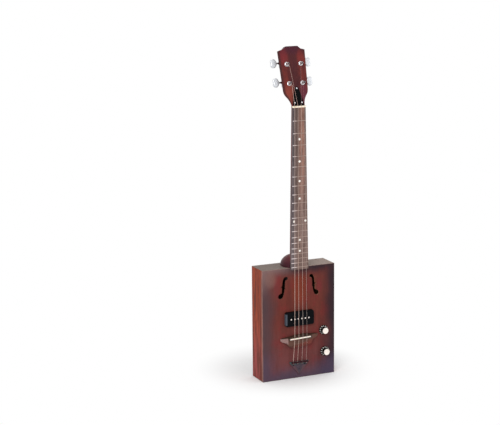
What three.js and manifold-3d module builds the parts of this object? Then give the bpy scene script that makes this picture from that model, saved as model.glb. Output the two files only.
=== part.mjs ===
// Cigar box guitar: four strings, one pickup, two knobs and an output jack.
//
// Millimetres. +Z runs from the tail end of the box to the tip of the head, the front panel faces -Y
// and the treble side is +X. The origin is the middle of the box's tail end, which the guitar stands on.

import * as THREE from 'three';
import { mergeVertices } from 'three/addons/utils/BufferGeometryUtils.js';
import Module from 'manifold-3d';

const wasm = await Module();
wasm.setup();

// Driving dimensions: the scale and the box
const scaleLength = 635;
const fretCount = 20;
const saddleZ = 115;
const bodyWidth = 218;
const bodyHeight = 313;
const bodyDepth = 69;
const panelThickness = 4;
const sideThickness = 9;

// Driving dimensions: neck and head
const nutWidth = 37.5;
const boardEndWidth = 51.7;
const boardProud = 8;
const boardThickness = 6;
const boardEndMargin = 7;
const neckDepthAtNut = 15;
const neckDepthAtBody = 17;
const nutThickness = 4;
const headTilt = THREE.MathUtils.degToRad(15);
const headLength = 160.4;
const headHalfWidth = 37.4;
const headThickness = 14;

// Clearances and overruns that all pieces share
const seatGap = 0.3;
const cutOverrun = 2;
const weld = 0.0001;

// Facets of round pieces
const roundSides = 20;
const smallSides = 12;

// Strings, from the bass side to the treble side
const stringDiameters = [1.07, 0.81, 0.56, 0.41];
const stringSpacingAtNut = 9.6;
const stringSpacingAtSaddle = 12.4;
const stringSpacingAtTail = 13.2;
const nutAction = 1.9;
const saddleProud = 12.5;

// Places worked out from the sizes above
const frontY = -bodyDepth / 2;
const backY = bodyDepth / 2;
const innerFrontY = frontY + panelThickness;
const innerBackY = backY - panelThickness;
const innerHalfWidth = bodyWidth / 2 - sideThickness;
const innerTopZ = bodyHeight - sideThickness;
const nutZ = saddleZ + scaleLength;
const headZ = nutZ + nutThickness;
const boardY = frontY - boardProud;
const neckFaceY = boardY + boardThickness;
const fretZ = (fret) => saddleZ + scaleLength * 2 ** (-fret / 12);
const boardEndZ = fretZ(fretCount) - boardEndMargin;

function boardWidthAt(z) {
  return THREE.MathUtils.lerp(nutWidth, boardEndWidth, (nutZ - z) / (nutZ - boardEndZ));
}

// Finishes, read from the photograph
const finishes = {
  stainedFront: { color: 0x5a2d28, roughness: 0.45 },
  stainedSide: { color: 0x7a3f30, roughness: 0.5 },
  stainedNeck: { color: 0x5b2724, roughness: 0.45 },
  plainWood: { color: 0xb08a62, roughness: 0.8 },
  rosewood: { color: 0x5c4439, roughness: 0.6 },
  bone: { color: 0xf3e6cf, roughness: 0.4 },
  blackPlastic: { color: 0x131314, roughness: 0.35 },
  blackMetal: { color: 0x262529, roughness: 0.45, metalness: 0.6 },
  chrome: { color: 0xd2d4d6, roughness: 0.15, metalness: 1 },
  steel: { color: 0xa8a6a4, roughness: 0.35, metalness: 1 },
  brass: { color: 0xb58d4a, roughness: 0.4, metalness: 1 },
  bronze: { color: 0xb09488, roughness: 0.4, metalness: 1 },
  cable: { color: 0x1c1c1d, roughness: 0.6 },
  ceramic: { color: 0xb5522c, roughness: 0.5 },
};

// A closed geometry as a solid that can be cut and joined
function solid(geometry) {
  const bare = geometry.clone();
  bare.deleteAttribute('normal');
  bare.deleteAttribute('uv');
  const merged = mergeVertices(bare, weld);
  return new wasm.Manifold(new wasm.Mesh({
    numProp: 3,
    vertProperties: merged.attributes.position.array,
    triVerts: merged.index.array,
  }));
}

function surface(manifold) {
  const mesh = manifold.getMesh();
  const geometry = new THREE.BufferGeometry();
  geometry.setAttribute('position', new THREE.BufferAttribute(mesh.vertProperties, 3));
  geometry.setIndex(new THREE.BufferAttribute(mesh.triVerts, 1));
  return geometry;
}

function cut(base, tools) {
  return surface(tools.reduce((left, tool) => left.subtract(solid(tool)), solid(base)));
}

function join(parts) {
  return surface(parts.slice(1).reduce((sum, part) => sum.add(solid(part)), solid(parts[0])));
}

function common(one, other) {
  return surface(solid(one).intersect(solid(other)));
}

// A block between two corners
function block(x0, x1, y0, y1, z0, z1) {
  const box = new THREE.BoxGeometry(x1 - x0, y1 - y0, z1 - z0);
  return box.translate((x0 + x1) / 2, (y0 + y1) / 2, (z0 + z1) / 2);
}

// Round bars along each axis, from one place on that axis to another
function barX(radius, x0, x1, y = 0, z = 0, sides = roundSides) {
  const bar = new THREE.CylinderGeometry(radius, radius, x1 - x0, sides);
  return bar.rotateZ(-Math.PI / 2).translate((x0 + x1) / 2, y, z);
}

function barY(radius, y0, y1, x = 0, z = 0, sides = roundSides) {
  return new THREE.CylinderGeometry(radius, radius, y1 - y0, sides).translate(x, (y0 + y1) / 2, z);
}

function barZ(radius, z0, z1, x = 0, y = 0, sides = roundSides) {
  const bar = new THREE.CylinderGeometry(radius, radius, z1 - z0, sides);
  return bar.rotateX(Math.PI / 2).translate(x, y, (z0 + z1) / 2);
}

// A plate from y = front to y = back, cut to an outline drawn across X and up Z
function plate(shape, front, back, curveSegments = 4) {
  const slab = new THREE.ExtrudeGeometry(shape, { depth: back - front, bevelEnabled: false, curveSegments });
  return slab.rotateX(Math.PI / 2).translate(0, back, 0);
}

function roundedRectangle(width, height, radius, x = 0, z = 0) {
  const shape = new THREE.Shape();
  const right = width / 2 - radius;
  const top = height / 2 - radius;
  shape.absarc(x + right, z + top, radius, 0, Math.PI / 2);
  shape.absarc(x - right, z + top, radius, Math.PI / 2, Math.PI);
  shape.absarc(x - right, z - top, radius, Math.PI, Math.PI * 1.5);
  shape.absarc(x + right, z - top, radius, Math.PI * 1.5, Math.PI * 2);
  return shape;
}

// A turned body about Y, its profile given as [radius, y] from the front (-Y) to the back
function turned(profile, sides = roundSides) {
  return new THREE.LatheGeometry(profile.map(([radius, y]) => new THREE.Vector2(radius, y)), sides);
}

function piece(name, geometry, finish) {
  const mesh = new THREE.Mesh(geometry, new THREE.MeshStandardMaterial(finish));
  mesh.name = name;
  return mesh;
}

function group(...children) {
  const made = new THREE.Group();
  made.add(...children);
  return made;
}

// A route of straight runs whose tangent at each corner halves the corner, so a tube keeps its section
class Route extends THREE.Curve {
  constructor(points) {
    super();
    this.points = points;
  }

  getPoint(t, target = new THREE.Vector3()) {
    const place = Math.min(t * (this.points.length - 1), this.points.length - 1);
    const start = Math.min(Math.floor(place), this.points.length - 2);
    return target.lerpVectors(this.points[start], this.points[start + 1], place - start);
  }

  getPointAt(u, target) {
    return this.getPoint(u, target);
  }

  getTangentAt(u, target = new THREE.Vector3()) {
    const last = this.points.length - 1;
    const at = Math.round(u * last);
    const before = this.points[Math.max(at, 1)].clone().sub(this.points[Math.max(at, 1) - 1]).normalize();
    const next = Math.min(at, last - 1);
    const after = this.points[next + 1].clone().sub(this.points[next]).normalize();
    return target.copy(before).add(after).normalize();
  }
}

// A closed tube with flat ends through a list of points, with one ring of its section at each point
function tube(points, radius, sides) {
  const section = new THREE.Shape();
  for (let side = 0; side < sides; side += 1) {
    const angle = side / sides * Math.PI * 2;
    const corner = [radius * Math.cos(angle), radius * Math.sin(angle)];
    if (side === 0) section.moveTo(...corner);
    else section.lineTo(...corner);
  }
  section.closePath();
  return new THREE.ExtrudeGeometry(section, {
    steps: points.length - 1, extrudePath: new Route(points), curveSegments: 1, bevelEnabled: false,
  });
}

// Pickup places that the front panel follows
const pickupWidth = 85.7;
const pickupHeight = 40.3;
const pickupCorner = 6;
const pickupZ = 169.8;
const pickupProud = 8.5;
const pickupTotalDepth = 17;
const pickupOpeningGap = 0.4;
const poleCount = 6;
const poleSpacing = 10.6;
const pickupScrewRadius = 1.4;
const pickupScrewXs = [-poleSpacing, poleSpacing];

function pickupOutline(gap) {
  return roundedRectangle(pickupWidth + 2 * gap, pickupHeight + 2 * gap, pickupCorner + gap, 0, pickupZ);
}

// Knob and pot places that the front panel follows, across the box as shares of its width
const volumeWidthShare = 0.3417;
const volumeZ = 127.5;
const toneWidthShare = 0.36;
const toneZ = 66.3;
const volumePlace = { x: bodyWidth * volumeWidthShare, z: volumeZ };
const tonePlace = { x: bodyWidth * toneWidthShare, z: toneZ };
const potHoleRadius = 5;

// Jack place that the treble side follows
const jackZ = 72;
const jackWellRadius = 9;

// Neck bolts run up through the neck block and the neck end board into the heel
const boltRadius = 3;
const boltSetback = 20;
const boltSpacing = 26;
const boltYs = [frontY + boltSetback, frontY + boltSetback + boltSpacing];
const boltHoleRadius = boltRadius + seatGap;

// The f holes: outlines as shares of their width (outer edge to inner edge) and height
const fHoleWidth = 29.6;
const fHoleHeight = 60;
const fHoleInnerX = 32.4;
const fHoleBottomZ = 229.2;
const fHoleOuterRunShares = [
  [1, 0.915], [0.955, 0.968], [0.83, 1], [0.64, 0.972], [0.525, 0.89], [0.465, 0.78], [0.425, 0.65],
  [0.405, 0.575],
];
const fHoleOuterNickShare = [0.29, 0.545];
const fHoleBulbRunShares = [
  [0.4, 0.5], [0.395, 0.4], [0.38, 0.29], [0.33, 0.245], [0.22, 0.235], [0.07, 0.185], [0, 0.1],
  [0.06, 0.03], [0.217, 0], [0.39, 0.02], [0.52, 0.11], [0.615, 0.245], [0.647, 0.36], [0.657, 0.425],
];
const fHoleInnerNickShare = [0.745, 0.465];
const fHoleInnerRunShares = [
  [0.695, 0.51], [0.707, 0.6], [0.715, 0.72], [0.735, 0.8], [0.775, 0.842], [0.85, 0.85], [0.97, 0.86],
];

function fHole(side) {
  const at = ([across, up]) => new THREE.Vector2(
    side * (fHoleInnerX + fHoleWidth * (1 - across)),
    fHoleBottomZ + fHoleHeight * up,
  );
  const shape = new THREE.Shape();
  shape.moveTo(...at(fHoleOuterRunShares[0]).toArray());
  shape.splineThru(fHoleOuterRunShares.slice(1).map(at));
  shape.lineTo(...at(fHoleOuterNickShare).toArray());
  shape.lineTo(...at(fHoleBulbRunShares[0]).toArray());
  shape.splineThru(fHoleBulbRunShares.slice(1).map(at));
  shape.lineTo(...at(fHoleInnerNickShare).toArray());
  shape.lineTo(...at(fHoleInnerRunShares[0]).toArray());
  shape.splineThru(fHoleInnerRunShares.slice(1).map(at));
  shape.closePath();
  return shape;
}

function makeFrontPanel() {
  const front = frontY - cutOverrun;
  const back = innerFrontY + cutOverrun;
  return cut(block(-bodyWidth / 2, bodyWidth / 2, frontY, innerFrontY, 0, bodyHeight), [
    plate(fHole(-1), front, back, 2),
    plate(fHole(1), front, back, 2),
    plate(pickupOutline(pickupOpeningGap), front, back),
    barY(potHoleRadius, front, back, volumePlace.x, volumePlace.z),
    barY(potHoleRadius, front, back, tonePlace.x, tonePlace.z),
  ]);
}

// The box's boards, blocks and brace
const cornerBlockSize = 18;
const neckBlockWidth = 70;
const neckBlockHeight = 36;
const tailBlockWidth = 56;
const tailBlockHeight = 42;
const tailBlockDepth = 22;
const braceWidth = 12;
const braceDepth = 14;
const braceEndGap = 6;
const braceZ = 98;
const pickupBlockWidth = 106;
const pickupBlockHeight = 52;
const pickupBlockDepth = 11;
const pickupLeadHoleRadius = 2.6;
const pickupLeadHoleX = 30;

function cornerBlock(side, up) {
  const x = side * innerHalfWidth;
  const z = up ? innerTopZ : sideThickness;
  const shape = new THREE.Shape();
  shape.moveTo(x, z);
  shape.lineTo(x - side * cornerBlockSize, z);
  shape.lineTo(x, up ? z - cornerBlockSize : z + cornerBlockSize);
  shape.closePath();
  return plate(shape, innerFrontY, innerBackY);
}

function makeBox() {
  const half = bodyWidth / 2;
  const boltHoles = boltYs.map((y) => (
    barZ(boltHoleRadius, innerTopZ - neckBlockHeight - cutOverrun, bodyHeight + cutOverrun, 0, y)
  ));
  const jackWell = barX(jackWellRadius, innerHalfWidth - cutOverrun, half + cutOverrun, 0, jackZ);
  const neckEnd = block(-innerHalfWidth, innerHalfWidth, innerFrontY, innerBackY, innerTopZ, bodyHeight);
  const neckBlock = block(
    -neckBlockWidth / 2, neckBlockWidth / 2, innerFrontY, innerBackY, innerTopZ - neckBlockHeight, innerTopZ,
  );
  const pocketBack = frontY + pickupTotalDepth - pickupProud + seatGap;
  const pickupBlock = block(
    -pickupBlockWidth / 2, pickupBlockWidth / 2, innerFrontY, innerFrontY + pickupBlockDepth,
    pickupZ - pickupBlockHeight / 2, pickupZ + pickupBlockHeight / 2,
  );
  const blockBack = innerFrontY + pickupBlockDepth + cutOverrun;
  const blockHoles = [
    plate(pickupOutline(pickupOpeningGap), innerFrontY - cutOverrun, pocketBack),
    barY(pickupLeadHoleRadius, innerFrontY, blockBack, pickupLeadHoleX, pickupZ, smallSides),
    ...pickupScrewXs.map((x) => (
      barY(pickupScrewRadius + seatGap, innerFrontY, blockBack, x, pickupZ, smallSides)
    )),
  ];
  const sideBoard = (from, to) => block(from, to, innerFrontY, innerBackY, 0, bodyHeight);
  return group(
    piece('front_panel', makeFrontPanel(), finishes.stainedFront),
    piece('back_panel', block(-half, half, innerBackY, backY, 0, bodyHeight), finishes.stainedSide),
    piece('side_bass', sideBoard(-half, -innerHalfWidth), finishes.stainedSide),
    piece('side_treble', cut(sideBoard(innerHalfWidth, half), [jackWell]), finishes.stainedSide),
    piece('side_neck_end', cut(neckEnd, boltHoles), finishes.stainedSide),
    piece('side_tail_end', block(-innerHalfWidth, innerHalfWidth, innerFrontY, innerBackY, 0, sideThickness),
      finishes.stainedSide),
    piece('corner_block_neck_bass', cornerBlock(-1, true), finishes.plainWood),
    piece('corner_block_neck_treble', cornerBlock(1, true), finishes.plainWood),
    piece('corner_block_tail_bass', cornerBlock(-1, false), finishes.plainWood),
    piece('corner_block_tail_treble', cornerBlock(1, false), finishes.plainWood),
    piece('neck_block', cut(neckBlock, boltHoles), finishes.plainWood),
    piece('tail_block', block(
      -tailBlockWidth / 2, tailBlockWidth / 2, innerFrontY, innerFrontY + tailBlockDepth,
      sideThickness, sideThickness + tailBlockHeight,
    ), finishes.plainWood),
    piece('bridge_brace', block(
      braceEndGap - innerHalfWidth, innerHalfWidth - braceEndGap, innerFrontY, innerFrontY + braceDepth,
      braceZ - braceWidth / 2, braceZ + braceWidth / 2,
    ), finishes.plainWood),
    piece('pickup_block', cut(pickupBlock, blockHoles), finishes.plainWood),
  );
}

// The head's own frame: its face at y = 0 looking to -Y, the nut at z = 0, tilted back about the nut
const head = new THREE.Group();
head.position.set(0, neckFaceY, headZ);
head.rotation.x = -headTilt;
head.updateMatrixWorld(true);

// Half outline of the head above its throat, as shares of its half width and of its length
const headThroatShares = [
  [0.515, 0.04], [0.54, 0.075], [0.6, 0.118], [0.71, 0.165], [0.83, 0.206], [0.888, 0.25], [0.903, 0.29],
];
const headSideShares = [[0.973, 0.754], [1, 0.935], [0.682, 0.954], [0.463, 1]];

function headOutline() {
  const at = (side, [across, up]) => new THREE.Vector2(side * across * headHalfWidth, up * headLength);
  const shape = new THREE.Shape();
  shape.moveTo(-nutWidth / 2, 0);
  shape.lineTo(nutWidth / 2, 0);
  shape.splineThru(headThroatShares.map((share) => at(1, share)));
  headSideShares.forEach((share) => shape.lineTo(...at(1, share).toArray()));
  [...headSideShares].reverse().forEach((share) => shape.lineTo(...at(-1, share).toArray()));
  const down = [...headThroatShares].reverse().map((share) => at(-1, share));
  shape.lineTo(...down[0].toArray());
  shape.splineThru([...down.slice(1), new THREE.Vector2(-nutWidth / 2, 0)]);
  return shape;
}

// Tuning machines on the head: the outer strings go to the lower pair, the inner strings to the upper
const postHoleRadius = 4.6;
const lowerPostX = 19.5;
const lowerPostZ = 60.5;
const upperPostX = 20.6;
const upperPostZ = 112.5;
const tunerPlaces = [
  { name: 'bass_lower', side: -1, x: -lowerPostX, z: lowerPostZ },
  { name: 'bass_upper', side: -1, x: -upperPostX, z: upperPostZ },
  { name: 'treble_upper', side: 1, x: upperPostX, z: upperPostZ },
  { name: 'treble_lower', side: 1, x: lowerPostX, z: lowerPostZ },
];

// The truss rod lies in a channel under the fretboard, and its nut in a pocket behind the nut
const rodRadius = 2.5;
const rodSetback = 7.5;
const rodStartRise = 22;
const rodStartZ = bodyHeight + rodStartRise;
const rodBarThickness = 2.4;
const rodBlockLength = 10;
const rodNutRadius = 3.6;
const rodNutLength = 13;
const rodNutStart = 2;
const rodY = neckFaceY + rodSetback;
const pocketRadius = 5.2;
const pocketLength = 38;

// The heel is a rounded boss on the neck end of the box
const heelHalfWidth = 37.8;
const heelDepthRadius = 40;
const heelCentreSetback = 28.5;
const heelRise = 31.2;
const boltGrip = 16;
const boltHeadRadius = 6;
const boltHeadHeight = 4;
const neckSteps = 3;
const neckWallShare = 0.16;

function neckShaft() {
  const section = new THREE.Shape();
  section.moveTo(1, 0);
  section.lineTo(1, neckWallShare);
  section.absellipse(0, neckWallShare, 1, 1 - neckWallShare, 0, Math.PI);
  section.lineTo(-1, 0);
  section.closePath();
  const shaft = new THREE.ExtrudeGeometry(section, {
    depth: 1, steps: neckSteps, bevelEnabled: false, curveSegments: 12,
  });
  const places = shaft.attributes.position;
  for (let index = 0; index < places.count; index += 1) {
    const share = places.getZ(index);
    const z = THREE.MathUtils.lerp(bodyHeight, headZ, share);
    const depth = THREE.MathUtils.lerp(neckDepthAtBody, neckDepthAtNut, share);
    const halfWidth = boardWidthAt(Math.min(z, nutZ)) / 2;
    places.setXYZ(index, places.getX(index) * halfWidth, neckFaceY + places.getY(index) * depth, z);
  }
  return shaft;
}

function makeNeck() {
  const heelBall = new THREE.SphereGeometry(1, 24, 12);
  heelBall.scale(heelHalfWidth, heelDepthRadius, heelRise);
  heelBall.translate(0, frontY + heelCentreSetback, bodyHeight);
  const heel = common(heelBall, block(
    -heelHalfWidth - cutOverrun, heelHalfWidth + cutOverrun, frontY, backY,
    bodyHeight, bodyHeight + heelRise + cutOverrun,
  ));
  const slab = plate(headOutline(), 0, headThickness, 2).applyMatrix4(head.matrixWorld);
  const channelHalf = rodRadius + seatGap;
  const channel = block(
    -channelHalf, channelHalf, neckFaceY - headThickness, rodY + channelHalf,
    rodStartZ - seatGap, headZ + cutOverrun,
  );
  const pocketFrom = headZ - cutOverrun;
  const pocketTo = headZ + pocketLength;
  const pocket = join([
    barZ(pocketRadius, pocketFrom, pocketTo, 0, rodY),
    block(-pocketRadius, pocketRadius, neckFaceY - headThickness, rodY, headZ + seatGap, pocketTo),
  ]);
  const postHoles = tunerPlaces.map(({ x, z }) => (
    barY(postHoleRadius, -cutOverrun, headThickness + cutOverrun, x, z).applyMatrix4(head.matrixWorld)
  ));
  const boltHoles = boltYs.map((y) => (
    barZ(boltHoleRadius, bodyHeight - cutOverrun, bodyHeight + boltGrip + seatGap, 0, y)
  ));
  return cut(join([neckShaft(), heel, slab]), [channel, pocket, ...postHoles, ...boltHoles]);
}

// Fretboard with its fret wires, drawn across X with the crown towards the front
const fretWidth = 2;
const fretRise = 1.1;
const fretSink = 0.8;
const fretEndInset = 0.5;

function fretWire(fret) {
  const half = fretWidth / 2;
  const crown = new THREE.Shape();
  crown.moveTo(-half, -fretSink);
  crown.lineTo(half, -fretSink);
  crown.lineTo(half, 0);
  crown.absellipse(0, 0, half, fretRise, 0, Math.PI);
  crown.closePath();
  const length = boardWidthAt(fretZ(fret)) - 2 * fretEndInset;
  const wire = new THREE.ExtrudeGeometry(crown, { depth: length, bevelEnabled: false, curveSegments: 3 });
  wire.translate(0, 0, -length / 2);
  return wire.rotateY(Math.PI / 2).rotateX(Math.PI).translate(0, boardY, fretZ(fret));
}

function makeFretboard() {
  const shape = new THREE.Shape();
  shape.moveTo(-boardEndWidth / 2, boardEndZ);
  shape.lineTo(boardEndWidth / 2, boardEndZ);
  shape.lineTo(nutWidth / 2, nutZ);
  shape.lineTo(-nutWidth / 2, nutZ);
  shape.closePath();
  const frets = Array.from({ length: fretCount }, (_, index) => fretWire(index + 1));
  return join([plate(shape, boardY, neckFaceY), ...frets]);
}

// Where each string crosses the tailpiece, the saddle and the nut
const stringRadius = (index) => stringDiameters[index] / 2;
const stringX = (index, spacing) => (index - (stringDiameters.length - 1) / 2) * spacing;
const nutStringY = boardY - nutAction;
const thickestString = Math.max(...stringDiameters);
const nutRise = 2.6;

function makeNut() {
  const slots = stringDiameters.map((diameter, index) => {
    const half = diameter / 2 + seatGap;
    const x = stringX(index, stringSpacingAtNut);
    const front = boardY - nutRise - cutOverrun;
    return block(x - half, x + half, front, nutStringY + half, nutZ - cutOverrun, headZ + cutOverrun);
  });
  return cut(block(-nutWidth / 2, nutWidth / 2, boardY - nutRise, neckFaceY, nutZ, headZ), slots);
}

function makeTrussRod() {
  const front = neckFaceY + seatGap;
  const barEnd = nutZ - rodBlockLength;
  return join([
    barZ(rodRadius, rodStartZ, headZ + rodNutStart + rodNutLength / 2, 0, rodY, smallSides),
    block(-rodRadius, rodRadius, front, front + rodBarThickness, rodStartZ, barEnd),
    block(-rodRadius, rodRadius, front, rodY + rodRadius, rodStartZ, rodStartZ + rodBlockLength),
    block(-rodRadius, rodRadius, front, rodY + rodRadius, barEnd - rodBlockLength, barEnd),
  ]);
}

function makeTrussRodNut() {
  const from = headZ + rodNutStart;
  return cut(barZ(rodNutRadius, from, from + rodNutLength, 0, rodY, 6), [
    barZ(rodRadius + seatGap, from - cutOverrun, from + rodNutLength + cutOverrun, 0, rodY, smallSides),
  ]);
}

function makeNeckBolt(y) {
  const from = innerTopZ - neckBlockHeight;
  return join([
    barZ(boltRadius, from, bodyHeight + boltGrip, 0, y, smallSides),
    barZ(boltHeadRadius, from - boltHeadHeight, from, 0, y, 6),
  ]);
}

// The bell shaped cover over the truss rod's pocket, in the head's frame
const coverLength = 49.6;
const coverHalfWidth = 16.2;
const coverThickness = 2;
const coverStart = 0.8;
const coverScrewHoleRadius = 1.4;
const coverSideShares = [
  [1, 0], [0.9, 0.2], [0.76, 0.42], [0.58, 0.64], [0.38, 0.84], [0.3, 0.93], [0.16, 1],
];
const coverScrewShares = [[0, 0.92], [-0.64, 0.15], [0.64, 0.15]];

function makeTrussRodCover() {
  const at = (side, [across, up]) => new THREE.Vector2(
    side * across * coverHalfWidth, coverStart + up * coverLength,
  );
  const shape = new THREE.Shape();
  const right = coverSideShares.map((share) => at(1, share));
  const left = [...coverSideShares].reverse().map((share) => at(-1, share));
  shape.moveTo(...right[0].toArray());
  shape.splineThru(right.slice(1));
  shape.lineTo(...left[0].toArray());
  shape.splineThru(left.slice(1));
  shape.closePath();
  const back = -seatGap;
  const front = back - coverThickness;
  return cut(plate(shape, front, back, 2), coverScrewShares.map((share) => {
    const place = at(1, share);
    return barY(coverScrewHoleRadius, front - cutOverrun, back + cutOverrun, place.x, place.y, smallSides);
  }));
}

function makeNeckAssembly() {
  return group(
    piece('neck', makeNeck(), finishes.stainedNeck),
    piece('fretboard', makeFretboard(), finishes.rosewood),
    piece('nut', makeNut(), finishes.bone),
    piece('truss_rod', makeTrussRod(), finishes.steel),
    piece('truss_rod_nut', makeTrussRodNut(), finishes.brass),
    ...boltYs.map((y, index) => piece(`neck_bolt_${index + 1}`, makeNeckBolt(y), finishes.steel)),
  );
}

// One tuning machine about its post: the post stands on a wheel that the worm on the key's shaft drives
const postRadius = 3;
const postWaistRadius = 2.6;
const postCapRadius = 3.2;
const postRise = 13;
const postCapHeight = 3;
const postWaistStart = 4.6;
const postEdge = 0.5;
const wheelRadius = 3.9;
const wheelRootRadius = 3.3;
const wheelTeeth = 12;
const wheelThickness = 3;
const wormRadius = 2.1;
const wormRootRadius = 1.5;
const wormThreads = 4;
const wormLength = 10;
const shaftRadius = 2;
const shaftSetback = 5;
const housingWall = 1.2;
const housingDepth = 10;
const housingOuterReach = 12.8;
const housingSideReach = 6.3;
const footLength = 6;
const footWidth = 8;
const footThickness = 1.6;
const footHoleRadius = 1.3;
const collarRadius = 3;
const collarLength = 2;
const buttonStart = 20.4;
const buttonLength = 17.6;
const buttonHalfHeight = 12.4;
const buttonThickness = 6.5;
const buttonBevel = 1.4;
const bushingRadius = postHoleRadius - seatGap;
const bushingLength = 9;
const washerRadius = 6;
const washerThickness = 0.8;
const hexRadius = 5.6;
const hexThickness = 2.2;
const shaftY = headThickness + shaftSetback;
const wormZ = wheelRadius + wormRadius + seatGap;
const buttonSideShares = [[0, 0.2], [0.1, 0.5], [0.3, 0.88], [0.58, 1], [0.86, 0.84], [1, 0.45], [0.95, 0]];

function makePost() {
  const capTop = -postRise;
  const capBack = capTop + postCapHeight;
  const profile = [
    [0, capTop], [postCapRadius - postEdge, capTop], [postCapRadius, capTop + postEdge],
    [postCapRadius, capBack - postEdge], [postWaistRadius, capBack], [postWaistRadius, -postWaistStart],
    [postRadius, postEdge - postWaistStart], [postRadius, shaftY], [0, shaftY],
  ];
  const wheel = new THREE.Shape();
  for (let corner = 0; corner < wheelTeeth * 4; corner += 1) {
    const radius = corner % 4 < 2 ? wheelRadius : wheelRootRadius;
    const angle = corner / (wheelTeeth * 4) * Math.PI * 2;
    if (corner === 0) wheel.moveTo(radius * Math.cos(angle), radius * Math.sin(angle));
    else wheel.lineTo(radius * Math.cos(angle), radius * Math.sin(angle));
  }
  wheel.closePath();
  const rim = plate(wheel, shaftY - wheelThickness / 2, shaftY + wheelThickness / 2);
  return join([turned(profile, smallSides), rim]);
}

function makeBushing() {
  const washerFront = -seatGap - washerThickness;
  const boreFront = washerFront - hexThickness - cutOverrun;
  return cut(join([
    barY(bushingRadius, washerFront, bushingLength, 0, 0, smallSides),
    barY(washerRadius, washerFront, -seatGap),
    barY(hexRadius, washerFront - hexThickness, washerFront, 0, 0, 6),
  ]), [barY(postRadius + seatGap, boreFront, bushingLength + cutOverrun, 0, 0, smallSides)]);
}

// A span along X on one side of the head, given from the post outwards
const outward = (side, from, to) => (side > 0 ? [from, to] : [-to, -from]);

function makeKey(side) {
  const pitch = wormLength / wormThreads;
  const worm = [[0, -wormLength / 2]];
  for (let thread = 0; thread < wormThreads; thread += 1) {
    const start = -wormLength / 2 + thread * pitch;
    worm.push([wormRootRadius, start], [wormRadius, start + pitch / 2]);
  }
  worm.push([wormRootRadius, wormLength / 2], [0, wormLength / 2]);
  const at = (up, [along, half]) => new THREE.Vector2(
    side * (buttonStart + along * buttonLength), up * half * buttonHalfHeight,
  );
  const upper = buttonSideShares.map((share) => at(1, share));
  const lower = buttonSideShares.slice(0, -1).reverse().map((share) => at(-1, share));
  const outline = new THREE.Shape();
  outline.moveTo(...upper[0].toArray());
  outline.splineThru([...upper.slice(1), ...lower]);
  outline.closePath();
  const button = new THREE.ExtrudeGeometry(outline, {
    depth: buttonThickness - 2 * buttonBevel, bevelEnabled: true, bevelThickness: buttonBevel,
    bevelSize: buttonBevel, bevelOffset: -buttonBevel, bevelSegments: 1, curveSegments: 2,
  });
  button.translate(0, 0, buttonBevel - buttonThickness / 2).rotateX(Math.PI / 2);
  const collarFrom = housingOuterReach + seatGap;
  const shaftSpan = outward(side, wormLength / 2 - postEdge, buttonStart + buttonBevel * 2);
  const collarSpan = outward(side, collarFrom, collarFrom + collarLength);
  return join([
    turned(worm, smallSides).rotateZ(-Math.PI / 2),
    barX(shaftRadius, ...shaftSpan, 0, 0, smallSides),
    barX(collarRadius, ...collarSpan, 0, 0, smallSides),
    button,
  ]);
}

function makeHousing(side) {
  const front = headThickness + seatGap;
  const back = front + housingDepth;
  const innerReach = wormLength / 2 + seatGap + housingWall;
  const top = wormZ + wormRadius + seatGap + housingWall;
  const wall = (reach) => reach - housingWall;
  const holeSpan = outward(side, wall(housingOuterReach) - cutOverrun, housingOuterReach + cutOverrun);
  const footEnd = -housingSideReach - footLength;
  return cut(join([
    block(...outward(side, -innerReach, housingOuterReach), front, back, -housingSideReach, top),
    block(-footWidth / 2, footWidth / 2, front, front + footThickness, footEnd, -wall(housingSideReach)),
  ]), [
    block(
      ...outward(side, -wall(innerReach), wall(housingOuterReach)), front - cutOverrun, back - housingWall,
      -wall(housingSideReach), wall(top),
    ),
    barX(shaftRadius + seatGap, ...holeSpan, shaftY, wormZ, smallSides),
    barY(
      footHoleRadius, front - cutOverrun, front + footThickness + cutOverrun,
      0, footEnd + footLength / 2, smallSides,
    ),
  ]);
}

function makeTuner({ name, side, x, z }) {
  const key = piece(`tuner_key_${name}`, makeKey(side), finishes.chrome);
  key.position.set(0, shaftY, wormZ);
  const tuner = group(
    piece(`tuner_housing_${name}`, makeHousing(side), finishes.chrome),
    piece(`tuner_bushing_${name}`, makeBushing(), finishes.chrome),
    piece(`tuner_post_${name}`, makePost(), finishes.chrome),
    key,
  );
  tuner.position.set(x, 0, z);
  return tuner;
}

// The bridge: half outline as shares of its half width and its height up Z, thin wings at both ends.
// It lies along the saddle, so its treble end is the higher one.
const bridgeHalfWidthShare = 0.2615;
const bridgeHalfWidth = bodyWidth * bridgeHalfWidthShare;
const bridgeSpan = 34;
const bridgeBottomZ = 89.6;
const bridgeRise = 9;
const wingRise = 5.6;
const wingTipRise = 3.2;
const bridgeSeatHalfWidth = 34;
const wingShoulder = 10;
const bridgeHalfShares = [
  [0.25, 1], [0.47, 0.94], [0.82, 0.9], [0.97, 0.86], [1, 0.81], [1, 0.69], [0.9, 0.56], [0.68, 0.42],
  [0.62, 0.2], [0.46, 0.06], [0.2, 0],
];
const saddleLength = 62;
const saddleThickness = 3;
const saddleSlotRise = 3.5;
const saddleCompensation = 2.1;
const saddleSlant = Math.atan2(saddleCompensation, saddleLength);

function slantedSaddle(margin, front, back) {
  const bar = block(
    -saddleLength / 2 - margin, saddleLength / 2 + margin, front, back,
    -saddleThickness / 2 - margin, saddleThickness / 2 + margin,
  );
  return bar.rotateY(-saddleSlant).translate(0, 0, saddleZ);
}

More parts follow.
